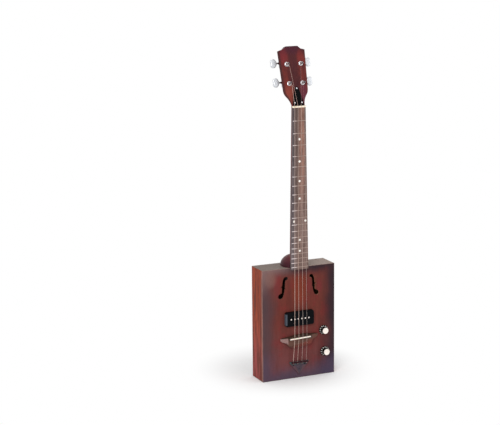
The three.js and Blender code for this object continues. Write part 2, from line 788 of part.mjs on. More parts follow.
function makeBridge() {
  const at = (side, [across, up]) => {
    const x = side * across * bridgeHalfWidth;
    return [x, bridgeBottomZ + up * bridgeSpan + x * Math.tan(saddleSlant)];
  };
  const outline = new THREE.Shape();
  outline.moveTo(...at(-1, bridgeHalfShares[0]));
  bridgeHalfShares.forEach((share) => outline.lineTo(...at(1, share)));
  [...bridgeHalfShares].reverse().slice(0, -1).forEach((share) => outline.lineTo(...at(-1, share)));
  outline.closePath();
  const side = new THREE.Shape();
  const wingStart = bridgeSeatHalfWidth + wingShoulder;
  side.moveTo(-bridgeHalfWidth, 0);
  side.lineTo(bridgeHalfWidth, 0);
  side.lineTo(bridgeHalfWidth, wingTipRise);
  side.lineTo(wingStart, wingRise);
  side.lineTo(bridgeSeatHalfWidth, bridgeRise);
  side.lineTo(-bridgeSeatHalfWidth, bridgeRise);
  side.lineTo(-wingStart, wingRise);
  side.lineTo(-bridgeHalfWidth, wingTipRise);
  side.closePath();
  const height = bridgeSpan + 2 * cutOverrun;
  const lengthwise = new THREE.ExtrudeGeometry(side, { depth: height, bevelEnabled: false });
  lengthwise.rotateZ(Math.PI).translate(0, frontY, bridgeBottomZ - cutOverrun);
  const slot = slantedSaddle(seatGap, frontY - bridgeRise - cutOverrun, frontY - saddleSlotRise);
  return cut(common(plate(outline, frontY - bridgeRise, frontY), lengthwise), [slot]);
}

// The tailpiece: a triangular plate with a raised anchor bar, whose holes the strings pass
const tailHalfWidth = 30;
const tailTopZ = 47;
const tailApexZ = 9;
const tailPlateThickness = 2;
const tailBarThickness = 3;
const tailBarRise = 8.5;
const tailBarInset = 2;
const tailStringRise = 5;
const tailCornerRadius = 3;
const tailHoleGap = 0.5;
const tailHoleRadius = thickestString / 2 + tailHoleGap;
const ballRadius = 1.9;
const ballLength = 3.4;

function makeTailpiece() {
  const shape = new THREE.Shape();
  const shoulderX = tailHalfWidth - tailCornerRadius;
  const cornerX = tailHalfWidth - tailCornerRadius / 2;
  const cornerZ = tailTopZ - tailCornerRadius;
  const toeZ = tailApexZ + tailCornerRadius;
  shape.moveTo(-shoulderX, tailTopZ);
  shape.quadraticCurveTo(-tailHalfWidth, tailTopZ, -cornerX, cornerZ);
  shape.lineTo(-tailCornerRadius, toeZ);
  shape.quadraticCurveTo(0, tailApexZ - tailCornerRadius / 2, tailCornerRadius, toeZ);
  shape.lineTo(cornerX, cornerZ);
  shape.quadraticCurveTo(tailHalfWidth, tailTopZ, shoulderX, tailTopZ);
  shape.closePath();
  const barHalf = shoulderX - tailBarInset;
  const holes = stringDiameters.map((_, index) => barZ(
    tailHoleRadius, tailTopZ - tailBarThickness - cutOverrun, tailTopZ + cutOverrun,
    stringX(index, stringSpacingAtTail), frontY - tailStringRise, smallSides,
  ));
  return cut(join([
    plate(shape, frontY - tailPlateThickness, frontY),
    block(-barHalf, barHalf, frontY - tailBarRise, frontY, tailTopZ - tailBarThickness, tailTopZ),
  ]), holes);
}

// Strings: each is one tube from its ball end over the saddle and the nut to its turns round the post
const stringSides = 6;
const turnSteps = 24;
const turnGap = 0.5;
const stringTurns = 2.25;

function stringRoute(index) {
  const { side, x: postX, z: postZ } = tunerPlaces[index];
  const radius = stringRadius(index);
  const tailX = stringX(index, stringSpacingAtTail);
  const saddleX = stringX(index, stringSpacingAtSaddle);
  const nutX = stringX(index, stringSpacingAtNut);
  const tailY = frontY - tailStringRise;
  const saddleY = frontY - saddleProud - seatGap - radius;
  const points = [
    new THREE.Vector3(tailX, tailY, tailTopZ - tailBarThickness - seatGap - ballRadius),
    new THREE.Vector3(tailX, tailY, tailTopZ),
    new THREE.Vector3(saddleX, saddleY, saddleZ + saddleX * Math.tan(saddleSlant)),
    new THREE.Vector3(nutX, nutStringY, nutZ),
    new THREE.Vector3(nutX, nutStringY, headZ),
  ];
  const leave = head.worldToLocal(points[points.length - 1].clone());
  const wind = postWaistRadius + seatGap + radius;
  const away = Math.hypot(postX - leave.x, postZ - leave.z);
  const toPost = Math.atan2(postZ - leave.z, postX - leave.x);
  const first = toPost + side * (Math.PI / 2 + Math.asin(wind / away));
  const top = -postRise + postCapHeight + seatGap + radius;
  const steps = Math.round(stringTurns * turnSteps);
  const pitch = 2 * radius + turnGap;
  for (let step = 0; step <= steps; step += 1) {
    const angle = first - side * step / turnSteps * Math.PI * 2;
    const y = top + pitch * step / turnSteps;
    const local = new THREE.Vector3(postX + wind * Math.cos(angle), y, postZ + wind * Math.sin(angle));
    points.push(head.localToWorld(local));
  }
  return points;
}

// Least gap of a wound tube to itself, between points that are at least half a turn apart along it
function leastGap(points, radius) {
  const wound = points.slice(-Math.round(turnSteps * 2));
  let least = Infinity;
  wound.forEach((point, index) => {
    wound.slice(index + turnSteps / 2).forEach((other) => {
      least = Math.min(least, point.distanceTo(other) - 2 * radius);
    });
  });
  return least;
}

function makeString(index) {
  const points = stringRoute(index);
  const radius = stringRadius(index);
  console.log(`string_${index + 1}: least gap to itself ${leastGap(points, radius).toFixed(2)} mm`);
  const ball = barX(ballRadius, -ballLength / 2, ballLength / 2, 0, 0, smallSides);
  return join([tube(points, radius, stringSides), ball.translate(points[0].x, points[0].y, points[0].z)]);
}

// The soapbar pickup: a cover over a coil with six pole screws, held by two long screws
const coverWall = 1.6;
const coverBevel = 1.8;
const poleRadius = 2.4;
const poleProud = 0.6;
const pickupScrewHeadRadius = 2.5;
const pickupScrewHeadHeight = 1.2;
const pickupScrewLength = 20;

function makePickup() {
  const front = frontY - pickupProud;
  const back = front + pickupTotalDepth;
  const soft = new THREE.ExtrudeGeometry(pickupOutline(0), {
    depth: pickupTotalDepth, bevelEnabled: true, bevelThickness: coverBevel, bevelSize: coverBevel,
    bevelOffset: -coverBevel, bevelSegments: 2, curveSegments: 3,
  });
  soft.rotateX(Math.PI / 2).translate(0, back + coverBevel, 0);
  const coilFront = front + coverWall + seatGap;
  const poleXs = Array.from({ length: poleCount }, (_, pole) => (pole - (poleCount - 1) / 2) * poleSpacing);
  const holes = (radius, xs) => xs.map((x) => (
    barY(radius, front - cutOverrun, back + cutOverrun, x, pickupZ, smallSides)
  ));
  const trim = block(
    -pickupWidth, pickupWidth, back, back + pickupTotalDepth, pickupZ - pickupHeight, pickupZ + pickupHeight,
  );
  const cover = cut(soft, [
    trim, plate(pickupOutline(-coverWall), front + coverWall, back + cutOverrun, 3),
    ...holes(poleRadius + seatGap, poleXs), ...holes(pickupScrewRadius + seatGap, pickupScrewXs),
  ]);
  const poles = poleXs.map((x) => (
    barY(poleRadius, front - poleProud, coilFront + coverWall, x, pickupZ, smallSides)
  ));
  const coil = cut(
    join([plate(pickupOutline(-coverWall - seatGap), coilFront, back, 3), ...poles]),
    holes(pickupScrewRadius + seatGap, pickupScrewXs),
  );
  const headBack = front - seatGap;
  const screw = (x) => join([
    barY(pickupScrewRadius, headBack, headBack + pickupScrewLength, x, pickupZ, smallSides),
    barY(pickupScrewHeadRadius, headBack - pickupScrewHeadHeight, headBack, x, pickupZ, smallSides),
  ]);
  return group(
    piece('pickup_cover', cover, finishes.blackPlastic),
    piece('pickup_coil', coil, finishes.steel),
    piece('pickup_screw_bass', screw(pickupScrewXs[0]), finishes.steel),
    piece('pickup_screw_treble', screw(pickupScrewXs[1]), finishes.steel),
  );
}

// A control: the pot under the panel, its shaft, and the skirted knob on the shaft
const potCaseRadius = 12;
const potCaseDepth = 9;
const potBushingRadius = potHoleRadius - seatGap;
const potBushingRise = 4.5;
const potNutRadius = 7.2;
const potNutThickness = 2.2;
const potBoreDepth = 6;
const potShaftRadius = 3;
const lugSpread = 5;
const potLugLength = 4;
const potLugWidth = 2.4;
const potLugThickness = 0.8;
const potLugDepth = 5;
const knobRise = 16;
const knobFloorGap = 0.8;
const knobSkirtRadius = 13;
const knobSkirtThickness = 2.2;
const knobFootRadius = 9.6;
const knobTopRadius = 8.6;
const knobFlare = 3;
const knobEdge = 0.8;
const knobWall = 3;
const knobHollowRadius = 8.2;
const knobHollowDepth = 5.6;

function makePot() {
  const caseBack = innerFrontY + potCaseDepth;
  const lugs = [-1, 0, 1].map((place) => block(
    -potCaseRadius - potLugLength, -potCaseRadius + potLugLength / 2,
    innerFrontY + potLugDepth, innerFrontY + potLugDepth + potLugThickness,
    place * lugSpread - potLugWidth / 2, place * lugSpread + potLugWidth / 2,
  ));
  const boreFront = frontY - potBushingRise - cutOverrun;
  return cut(join([
    barY(potCaseRadius, innerFrontY, caseBack),
    barY(potBushingRadius, frontY - potBushingRise, innerFrontY + cutOverrun, 0, 0, smallSides),
    barY(potNutRadius, frontY - potNutThickness, frontY, 0, 0, 6),
    ...lugs,
  ]), [barY(potShaftRadius + seatGap, boreFront, innerFrontY + potBoreDepth, 0, 0, smallSides)]);
}

function makeKnob() {
  const floor = frontY - knobFloorGap;
  const front = frontY - knobRise;
  const skirtTop = floor - knobSkirtThickness;
  const bore = potShaftRadius + seatGap;
  return turned([
    [0, front], [knobTopRadius - knobEdge, front], [knobTopRadius, front + knobEdge],
    [knobFootRadius, skirtTop - knobFlare], [knobFootRadius + knobFlare * 2 / 3, skirtTop - knobEdge],
    [knobSkirtRadius, skirtTop], [knobSkirtRadius, floor], [knobHollowRadius, floor],
    [knobHollowRadius, floor - knobHollowDepth], [bore, floor - knobHollowDepth],
    [bore, front + knobWall], [0, front + knobWall],
  ]);
}

function makeControl(name, place) {
  const shaftFront = frontY - knobRise + knobWall + seatGap;
  const shaftBack = innerFrontY + potBoreDepth - seatGap;
  const shaft = barY(potShaftRadius, shaftFront, shaftBack, 0, 0, smallSides);
  const control = group(
    piece(`${name}_pot`, makePot(), finishes.steel),
    piece(`${name}_shaft`, shaft, finishes.steel),
    piece(`${name}_knob`, makeKnob(), finishes.blackPlastic),
  );
  control.position.set(place.x, 0, place.z);
  return control;
}

// The output jack: a socket for a 6.35 mm plug behind a square plate on the treble side
const jackPlateWidth = 36;
const jackPlateThickness = 1.5;
const jackPlateCorner = 4;
const jackBoreRadius = 3.3;
const jackThreadRadius = 4.7;
const jackBodyRadius = 8;
const jackBodyLength = 24;
const jackBoreLength = 26;
const jackNutRadius = 7.4;
const jackNutThickness = 2.2;
const jackThreadRise = 3;
const jackLugLength = 5;

function makeJack() {
  const wall = bodyWidth / 2;
  const face = wall + jackPlateThickness;
  const shape = roundedRectangle(jackPlateWidth, jackPlateWidth, jackPlateCorner);
  const plateBody = new THREE.ExtrudeGeometry(shape, {
    depth: jackPlateThickness, bevelEnabled: false, curveSegments: 3,
  });
  plateBody.rotateY(Math.PI / 2).translate(wall, 0, jackZ);
  const threadHole = barX(jackThreadRadius + seatGap, wall - cutOverrun, face + cutOverrun, 0, jackZ);
  const bodyEnd = wall - jackBodyLength;
  const threadEnd = face + jackThreadRise;
  const socket = cut(join([
    barX(jackBodyRadius, bodyEnd, wall, 0, jackZ),
    barX(jackThreadRadius, wall - cutOverrun, threadEnd, 0, jackZ),
    barX(jackNutRadius, face, face + jackNutThickness, 0, jackZ, 6),
    block(
      bodyEnd - jackLugLength, bodyEnd + cutOverrun, -potLugWidth / 2, potLugWidth / 2,
      jackZ - potLugThickness / 2, jackZ + potLugThickness / 2,
    ),
  ]), [barX(jackBoreRadius, threadEnd - jackBoreLength, threadEnd + cutOverrun, 0, jackZ)]);
  return group(
    piece('jack_plate', cut(plateBody, [threadHole]), finishes.chrome),
    piece('jack_socket', socket, finishes.chrome),
  );
}

// Wiring inside the box: points chosen by hand, the jack's counted across from its lug
const leadRadius = 1.2;
const leadSides = 8;
const leadSteps = 16;
const legRadius = 0.5;
const legSteps = 9;
const discRadius = 5;
const discThickness = 3;
const discInset = 22.5;
const discY = -11;
const legRise = 10;
const legDrop = 14;
const jackRoutePoints = [[-26, -17, 58], [-20, -4, 60], [-9, 0, 68]];
const lugY = innerFrontY + potLugDepth + potLugThickness / 2;
const lugApproach = 4;

// The last two points of a wire that meets a pot's lug, the lug's end coming last
function lugEnd(place, step) {
  const x = place.x - potCaseRadius - potLugLength - seatGap;
  const z = place.z + step * lugSpread;
  return [[x - lugApproach, lugY, z], [x, lugY, z]];
}

function wire(points, radius, steps) {
  const smooth = new THREE.CatmullRomCurve3(points.map((point) => new THREE.Vector3(...point)));
  return tube(smooth.getSpacedPoints(steps), radius, leadSides);
}

function makeWiring() {
  const coilBack = frontY - pickupProud + pickupTotalDepth;
  const jackLugEnd = bodyWidth / 2 - jackBodyLength - jackLugLength - seatGap;
  const pickupRoute = [
    [pickupLeadHoleX, coilBack + seatGap, pickupZ], [pickupLeadHoleX, -17, pickupZ], [33, -10, 160],
    [42, -11, 143], [48, -19, 134], ...lugEnd(volumePlace, 1),
  ];
  const jackRoute = [
    ...lugEnd(tonePlace, -1).reverse(), ...jackRoutePoints.map(([x, y, z]) => [jackLugEnd + x, y, z]),
    [jackLugEnd - lugApproach, 0, jackZ], [jackLugEnd, 0, jackZ],
  ];
  const discX = volumePlace.x - discInset;
  const legs = [
    [
      ...lugEnd(volumePlace, -1).reverse(), [discX, lugY, volumePlace.z - legDrop],
      [discX, discY, braceZ + legRise], [discX, discY, braceZ],
    ],
    [
      [discX, discY, braceZ], [discX, discY, braceZ - legRise],
      [discX, lugY, tonePlace.z + legDrop], ...lugEnd(tonePlace, 1),
    ],
  ].map((points) => wire(points, legRadius, legSteps));
  const disc = barY(discRadius, discY - discThickness / 2, discY + discThickness / 2, discX, braceZ);
  return group(
    piece('lead_pickup', wire(pickupRoute, leadRadius, leadSteps), finishes.cable),
    piece('lead_jack', wire(jackRoute, leadRadius, leadSteps), finishes.cable),
    piece('tone_capacitor', join([disc, ...legs]), finishes.ceramic),
  );
}

head.add(
  piece('truss_rod_cover', makeTrussRodCover(), finishes.blackPlastic),
  ...tunerPlaces.map(makeTuner),
);

export default group(
  makeBox(),
  makeNeckAssembly(),
  head,
  piece('bridge', makeBridge(), finishes.rosewood),
  piece('saddle', slantedSaddle(0, frontY - saddleProud, frontY - saddleSlotRise - seatGap), finishes.bone),
  piece('tailpiece', makeTailpiece(), finishes.blackMetal),
  ...stringDiameters.map((_, index) => piece(`string_${index + 1}`, makeString(index), finishes.bronze)),
  makePickup(),
  makeControl('volume', volumePlace),
  makeControl('tone', tonePlace),
  makeJack(),
  makeWiring(),
);
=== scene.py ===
"""Cigar box guitar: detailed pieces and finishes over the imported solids.

+Z runs up the neck, the front faces -Y and the treble side is +X. Sizes and places are written in millimetres
and turned into metres where a piece is made.
"""

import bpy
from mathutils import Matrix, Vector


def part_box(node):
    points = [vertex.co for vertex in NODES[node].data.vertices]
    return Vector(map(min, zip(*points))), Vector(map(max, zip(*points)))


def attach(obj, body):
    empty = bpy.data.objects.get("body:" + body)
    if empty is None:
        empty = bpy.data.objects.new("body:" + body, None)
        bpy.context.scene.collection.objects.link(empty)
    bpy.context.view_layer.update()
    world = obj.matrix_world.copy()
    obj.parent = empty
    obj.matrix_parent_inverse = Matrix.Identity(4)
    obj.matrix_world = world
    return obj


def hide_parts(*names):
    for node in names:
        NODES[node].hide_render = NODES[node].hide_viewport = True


bl_info = {
    "name": "Cigar Box Guitar",
    "version": (1, 0, 0),
    "blender": (4, 5, 0),
    "location": "View3D > Sidebar > Guitar",
    "description": "Dresses the solids of a cigar box guitar with detailed pieces and finishes",
    "category": "Object",
}

import contextlib
import math

import bmesh
import bpy
from bpy.props import FloatProperty, FloatVectorProperty, PointerProperty
from mathutils import Matrix, Vector

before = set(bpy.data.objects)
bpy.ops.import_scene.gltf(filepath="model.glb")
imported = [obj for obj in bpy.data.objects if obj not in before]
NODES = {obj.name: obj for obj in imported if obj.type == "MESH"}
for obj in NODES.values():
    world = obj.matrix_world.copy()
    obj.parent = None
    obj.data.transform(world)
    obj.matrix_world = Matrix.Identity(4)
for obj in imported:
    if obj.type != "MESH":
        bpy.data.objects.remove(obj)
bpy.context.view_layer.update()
MM = 0.001
# Places that are closer than this are one place
SAME = 0.05

# Places and sizes of the solids
BOX_LOW, BOX_HIGH = (Vector(corner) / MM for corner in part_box("back_panel"))
HALF_WIDTH = BOX_HIGH.x
BODY_TOP = BOX_HIGH.z
BACK_Y = BOX_HIGH.y
FRONT_Y = -BACK_Y
PANEL_THICKNESS = BACK_Y - BOX_LOW.y
SIDE_THICKNESS = 9
NUT_LOW, NUT_HIGH = (Vector(corner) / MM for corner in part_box("nut"))
NUT_Z = NUT_LOW.z
HEAD_Z = NUT_HIGH.z
FACE_Y = NUT_HIGH.y
BOARD_LOW = Vector(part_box("fretboard")[0]) / MM
NUT_HALF = NUT_HIGH.x
BOARD_Y = FACE_Y - 6
SADDLE_Z = 115
SADDLE_SLOPE = 2.1 / 62
SCALE_LENGTH = NUT_Z - SADDLE_Z
# The head's frame: its face is the plane of no depth, and its depth runs towards the back
HEAD = Matrix.Translation((0, FACE_Y * MM, HEAD_Z * MM)) @ Matrix.Rotation(-math.radians(15), 4, "X")
HEAD_BACK = HEAD.to_3x3() @ Vector((0, 1, 0))
HEAD_THICKNESS = 14
# The share of the neck's depth that stands straight, and its depth at the nut
NECK_WALL = 0.16
NECK_DEPTH = 15
ROD_Y = -29
ROD_POCKET = 5.2
# Side, and place on the head, of each post. A worm's axis lies behind its post and above it.
TUNERS = {
    "bass_lower": (-1, -19.5, 60.5),
    "bass_upper": (-1, -20.6, 112.5),
    "treble_upper": (1, 20.6, 112.5),
    "treble_lower": (1, 19.5, 60.5),
}
WORM_Y, WORM_Z = 19, 6.3
STRING_SIZES = (1.07, 0.81, 0.56, 0.41)
WOUND_STRINGS = 2
# The strings' spacing at the tailpiece, the saddle and the nut
TAIL_GAP, SADDLE_GAP, NUT_GAP = 13.2, 12.4, 9.6
FLUTES = 24
CONTROLS = {"volume": (74.49, 127.5), "tone": (78.48, 66.3)}
JACK_Z = 72
PICKUP_Z = 169.8
FRETS = 20
DOT_FRETS = (3, 5, 7, 9, 15, 17)
DOUBLE_DOT_FRET = 12

# The picture's size, and where the stage's target shows in it, in pixels
PICTURE_WIDTH, PICTURE_HEIGHT = 500, 425
TARGET_ACROSS, TARGET_DOWN = 298.447963, 217.62885
SENSOR_WIDTH = 36


def stain(red, green, blue):
    """A colour as a screen shows it, 0 to 255, in the linear values that Blender keeps."""
    def straight(level):
        level /= 255
        return level / 12.92 if level <= 0.04045 else ((level + 0.055) / 1.055) ** 2.4
    return tuple(straight(level) for level in (red, green, blue))


def colour_of(name, description, *levels):
    return FloatVectorProperty(
        name=name, description=description, subtype="COLOR", size=3, min=0, max=1, default=stain(*levels)
    )


def length_of(name, description, millimetres):
    return FloatProperty(
        name=name, description=description, unit="LENGTH", subtype="DISTANCE", min=0, precision=5,
        default=millimetres * MM,
    )


class GuitarColours(bpy.types.PropertyGroup):
    """Colours of the guitar's finishes."""

    front_middle: colour_of("Front, middle", "Stain in the middle of the front", 106, 50, 42)
    front_low: colour_of("Front, low", "Pinker stain of the front towards the tail end", 108, 60, 60)
    front_streak: colour_of("Front, streaks", "Darker streaks along the front's grain", 84, 40, 36)
    # The burst colours are painted light: lighter on the bass side and in its top corner, much darker on the
    # treble side.
    edge_left: colour_of("Burst, bass side", "Burst along the bass side of the front", 78, 60, 64)
    edge_right: colour_of("Burst, treble side", "Burst along the treble side of the front", 40, 32, 40)
    edge_top: colour_of("Burst, top corner", "Faded burst in the bass side's top corner", 122, 98, 96)
    edge_low: colour_of("Burst, tail end", "Burst along the tail end of the front", 78, 64, 80)
    side: colour_of("Sides", "Stain of the box's sides", 156, 66, 36)
    side_low: colour_of("Sides, low", "Pinker stain of the sides towards the tail end", 154, 68, 66)
    side_streak: colour_of("Sides, streaks", "Darker streaks along the sides' grain", 100, 44, 32)
    # The ends' grey colour, lighter towards the treble side, is a painted reflection of the surroundings.
    end: colour_of("Ends", "Stain of the box's neck end and tail end", 118, 105, 98)
    # Pale colour of the box's front edges: partly wear, partly a painted highlight on the rounded edges.
    worn: colour_of("Worn edge", "Wood showing where the box's front edges are rubbed", 150, 120, 112)
    neck: colour_of("Neck", "Stain of the neck and head", 110, 44, 38)
    neck_streak: colour_of("Neck, streaks", "Darker streaks along the neck's grain", 64, 28, 32)
    board: colour_of("Fretboard", "Rosewood of the fretboard", 136, 112, 104)
    board_streak: colour_of("Fretboard, streaks", "Dark streaks of the fretboard", 100, 80, 74)
    bridge: colour_of("Bridge", "Rosewood of the bridge below the saddle", 96, 66, 56)
    bridge_stained: colour_of("Bridge, stained", "Redder wood, low edge and treble wing", 110, 54, 46)
    # Darker colour above the saddle line and along the treble wing's top: painted shade.
    bridge_dark: colour_of("Bridge, above", "Darker rosewood above the saddle", 58, 38, 27)
    # The pale bass wing is mostly a painted reflection of the left lamp, with some wear.
    bridge_rubbed: colour_of("Bridge, rubbed", "Rubbed wood on the bridge's bass wing", 150, 120, 116)
    raw_wood: colour_of("Raw wood", "Blocks and braces inside the box", 104, 78, 54)
    bone: colour_of("Bone", "Nut and saddle", 250, 236, 212)
    cap: colour_of("Knob caps", "Ivory caps of the knobs", 249, 240, 230)
    marks: colour_of("Numbers", "Numbers printed on the knobs' skirts", 255, 250, 244)


class GuitarSizes(bpy.types.PropertyGroup):
    """Sizes of the guitar's small forms."""

    box_edge: length_of("Box edges", "Radius of the box's outer edges", 1.1)
    hole_edge: length_of("Hole edges", "Radius of the rims of the f holes", 0.5)
    head_edge: length_of("Head edges", "Radius of the head's edges", 1.3)
    bridge_edge: length_of("Bridge edges", "Radius of the bridge's edges", 0.9)
    cover_edge: length_of("Pickup edges", "Radius of the pickup cover's front edges", 1.8)
    fret_width: length_of("Fret width", "Width of a fret's crown", 2.0)
    fret_rise: length_of("Fret rise", "Height of a fret's crown over the board", 1.1)
    dot_width: length_of("Dot width", "Diameter of a position dot", 6.2)
    number_height: length_of("Number height", "Height of the numbers on the knobs", 3.2)


class GuitarStage(bpy.types.PropertyGroup):
    """Camera and light."""

    azimuth: FloatProperty(
        name="Azimuth", description="Camera's direction round the guitar, 0 in front of it", unit="ROTATION",
        default=math.radians(-23.87718735),
    )
    elevation: FloatProperty(
        name="Elevation", description="Camera's height above the horizon", unit="ROTATION",
        default=math.radians(11.49836333),
    )
    roll: FloatProperty(
        name="Roll", description="Camera's turn about its own axis", unit="ROTATION",
        default=math.radians(-0.57597845),
    )
    distance: FloatProperty(
        name="Distance", description="From the camera to the guitar's middle", unit="LENGTH",
        default=3.971631754,
    )
    focal: FloatProperty(
        name="Focal length", description="Focal length over the width of the picture",
        default=1471.426814 / PICTURE_WIDTH,
    )
    sky: FloatProperty(name="Sky", description="Strength of the even light from all round", default=0.5)
    key: FloatProperty(name="Key lamp", description="Power of the lamp on the left", unit="POWER", default=60)
    fill: FloatProperty(
        name="Fill lamp", description="Power of the lamp on the right", unit="POWER", default=16,
    )
    top: FloatProperty(name="Top lamp", description="Power of the lamp overhead", unit="POWER", default=14)


# Modelling by hand


def deselect():
    if bpy.context.object and bpy.context.object.mode != "OBJECT":
        bpy.ops.object.mode_set(mode="OBJECT")
    bpy.ops.object.select_all(action="DESELECT")


def activate(*pieces):
    """Selects these pieces alone, the first one active."""
    deselect()
    for piece in pieces:
        piece.select_set(True)
    bpy.context.view_layer.objects.active = pieces[0]


@contextlib.contextmanager
def editing(piece):
    """The piece in edit mode, all of it selected."""
    activate(piece)
    bpy.ops.object.mode_set(mode="EDIT")
    bpy.ops.mesh.select_all(action="SELECT")
    yield
    bpy.ops.object.mode_set(mode="OBJECT")


def pick(kind, test):
    """Selects the vertices, edges or faces that pass the test, of the piece in edit mode."""
    bpy.ops.mesh.select_mode(type=kind)
    bpy.ops.mesh.select_all(action="DESELECT")
    mesh = bmesh.from_edit_mesh(bpy.context.object.data)
    elements = {"VERT": mesh.verts, "EDGE": mesh.edges, "FACE": mesh.faces}[kind]
    for element in elements:
        if test(element):
            element.select_set(True)
    mesh.select_flush_mode()
    bmesh.update_edit_mesh(bpy.context.object.data)


def outwards():
    """Turns the faces of the piece in edit mode outwards."""
    bpy.ops.mesh.select_all(action="SELECT")
    bpy.ops.mesh.normals_make_consistent(inside=False)


def applied():
    """Applies the active piece's place to its mesh."""
    bpy.ops.object.transform_apply(location=True, rotation=True, scale=True)
    return bpy.context.object


def place(piece, matrix):
    """Moves a piece by the matrix and applies the move to its mesh."""
    activate(piece)
    piece.matrix_world = matrix
    applied()
    if matrix.determinant() < 0:
        with editing(piece):
            outwards()
    return piece


def moved_to(x, y, z):
    return Matrix.Translation(Vector((x, y, z)) * MM)


def copied(piece, matrix):
    """A copy of a piece, with its own mesh, moved by the matrix."""
    activate(piece)
    bpy.ops.object.duplicate()
    return place(bpy.context.object, matrix)


def joined(pieces):
    activate(*pieces)
    if len(pieces) > 1:
        bpy.ops.object.join()
    return bpy.context.object


def removed(*pieces):
    for piece in pieces:
        bpy.data.objects.remove(piece)


def repeated(piece, matrices):
    """One piece made of copies, which takes the place of the piece that was copied."""
    made = [copied(piece, matrix) for matrix in matrices]
    removed(piece)
    return joined(made)


def block(low, high):
    """A block between two corners."""
    low, high = Vector(low) * MM, Vector(high) * MM
    deselect()
    bpy.ops.mesh.primitive_cube_add(size=1, location=(low + high) / 2)
    bpy.context.object.scale = high - low
    return applied()


def turned(profile, sides, axis="Y", centre=(0, 0, 0)):
    """A turned form: one ring after another is extruded through the (radius, place) pairs."""
    (radius, at), *rest = profile
    deselect()
    bpy.ops.mesh.primitive_circle_add(
        vertices=sides, radius=radius * MM, fill_type="NGON", location=(0, 0, at * MM)
    )
    piece = applied()
    with editing(piece):
        for next_radius, next_at in rest:
            bpy.ops.mesh.extrude_region_move(TRANSFORM_OT_translate={"value": (0, 0, (next_at - at) * MM)})
            scale = next_radius / radius
            if scale != 1:
                bpy.ops.transform.resize(value=(scale, scale, 1), center_override=(0, 0, next_at * MM))
            radius, at = next_radius, next_at
        outwards()
    turn = {
        "X": Matrix.Rotation(math.pi / 2, 4, "Y"),
        "Y": Matrix.Rotation(-math.pi / 2, 4, "X"),
        "Z": Matrix.Identity(4),
    }[axis]
    return place(piece, moved_to(*centre) @ turn)


def ball(radii, centre, segments, rings):
    """A ball with its own radius along each axis."""
    deselect()
    bpy.ops.mesh.primitive_uv_sphere_add(
        segments=segments, ring_count=rings, radius=1, location=Vector(centre) * MM
    )
    bpy.context.object.scale = Vector(radii) * MM
    return applied()


def outlined(points, thickness, edge):
    """A slab with rounded edges across Z, whose outline runs smoothly through the points."""
    deselect()
    bpy.ops.curve.primitive_bezier_circle_add(radius=MM)
    curve = bpy.context.object.data
    spline = curve.splines[0]
    spline.bezier_points.add(len(points) - len(spline.bezier_points))
    for point, (x, y) in zip(spline.bezier_points, points):
        point.co = Vector((x, y, 0)) * MM
        point.handle_left_type = point.handle_right_type = "AUTO"
    curve.dimensions = "2D"
    curve.fill_mode = "BOTH"
    curve.resolution_u = 5
    curve.extrude = (thickness / 2 - edge) * MM
    curve.bevel_depth = edge * MM
    curve.bevel_resolution = 3
    curve.offset = -edge * MM
    return meshed()


def cable(points, radius):
    """A round wire with closed ends."""
    deselect()
    bpy.ops.curve.primitive_nurbs_path_add()
    curve = bpy.context.object.data
    spline = curve.splines[0]
    spline.type = "POLY"
    spline.points.add(len(points) - len(spline.points))
    for point, at in zip(spline.points, points):
        point.co = (*(at * MM), 1)
    curve.dimensions = "3D"
    curve.bevel_depth = radius * MM
    curve.bevel_resolution = 3
    curve.use_fill_caps = True
    return meshed()


def meshed():
    """Turns the active curve into a closed mesh."""
    bpy.ops.object.convert(target="MESH")
    piece = bpy.context.object
    with editing(piece):
        bpy.ops.mesh.remove_doubles(threshold=0.002 * MM)
        outwards()
    return piece


def skin_of(node):
    """A piece that starts as a solid's own mesh, its triangles merged into whole flat faces."""
    piece = bpy.data.objects.new(node + "_skin", NODES[node].data.copy())
    bpy.context.scene.collection.objects.link(piece)
    activate(piece)
    bpy.ops.mesh.customdata_custom_splitnormals_clear()
    with editing(piece):
        bpy.ops.mesh.remove_doubles(threshold=0.002 * MM)
        bpy.ops.mesh.select_all(action="SELECT")
        bpy.ops.mesh.dissolve_limited(angle_limit=math.radians(0.3))
    return piece


def halve(piece, at, normal):
    """Cuts a piece at a plane, keeps the side that the normal points to and closes the cut."""
    with editing(piece):
        bpy.ops.mesh.bisect(
            plane_co=Vector(at) * MM, plane_no=Vector(normal), use_fill=True, clear_inner=True,
            threshold=0.001 * MM,
        )
    return piece


def combine(piece, tool, operation="DIFFERENCE"):
    """Cuts a tool out of a piece, or welds it on."""
    activate(piece)
    modifier = piece.modifiers.new("combine", "BOOLEAN")
    modifier.operation = operation
    modifier.object = tool
    modifier.solver = "EXACT"
    bpy.ops.object.modifier_apply(modifier=modifier.name)
    removed(tool)
    return piece


def soften(piece, width, segments, test, angle=28):
    """Rounds the sharp edges that pass the test. The width is in metres, the angle in degrees."""
    with editing(piece):
        pick("EDGE", lambda edge: (
            len(edge.link_faces) == 2 and edge.calc_face_angle(0) > math.radians(angle) and test(edge)
        ))
        bpy.ops.mesh.bevel(offset=width, segments=segments, affect="EDGES", clamp_overlap=True)
    return piece


def ends(edge):
    return [vertex.co / MM for vertex in edge.verts]


def lies_at(edge, y):
    """Whether both ends of an edge are at the same place from the front to the back."""
    return all(abs(end.y - y) < SAME for end in ends(edge))


def runs_back(edge):
    """Whether an edge runs from the front to the back."""
    first, last = ends(edge)
    return abs(first.y - last.y) > 1


def settle(piece, name, material, body="guitar", solids=(), smooth=34, weighted=True):
    """Names and shades a finished piece, gives it its material and says what it rides on and stands for."""
    activate(piece)
    piece.name = name
    piece.data.name = name
    bpy.ops.object.shade_smooth_by_angle(angle=math.radians(smooth))
    if weighted:
        modifier = piece.modifiers.new("weigh", "WEIGHTED_NORMAL")
        modifier.keep_sharp = True
        bpy.ops.object.modifier_apply(modifier=modifier.name)
    piece.data.materials.clear()
    piece.data.materials.append(material)
    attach(piece, body)
    if solids:
        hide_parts(*solids)
    return piece


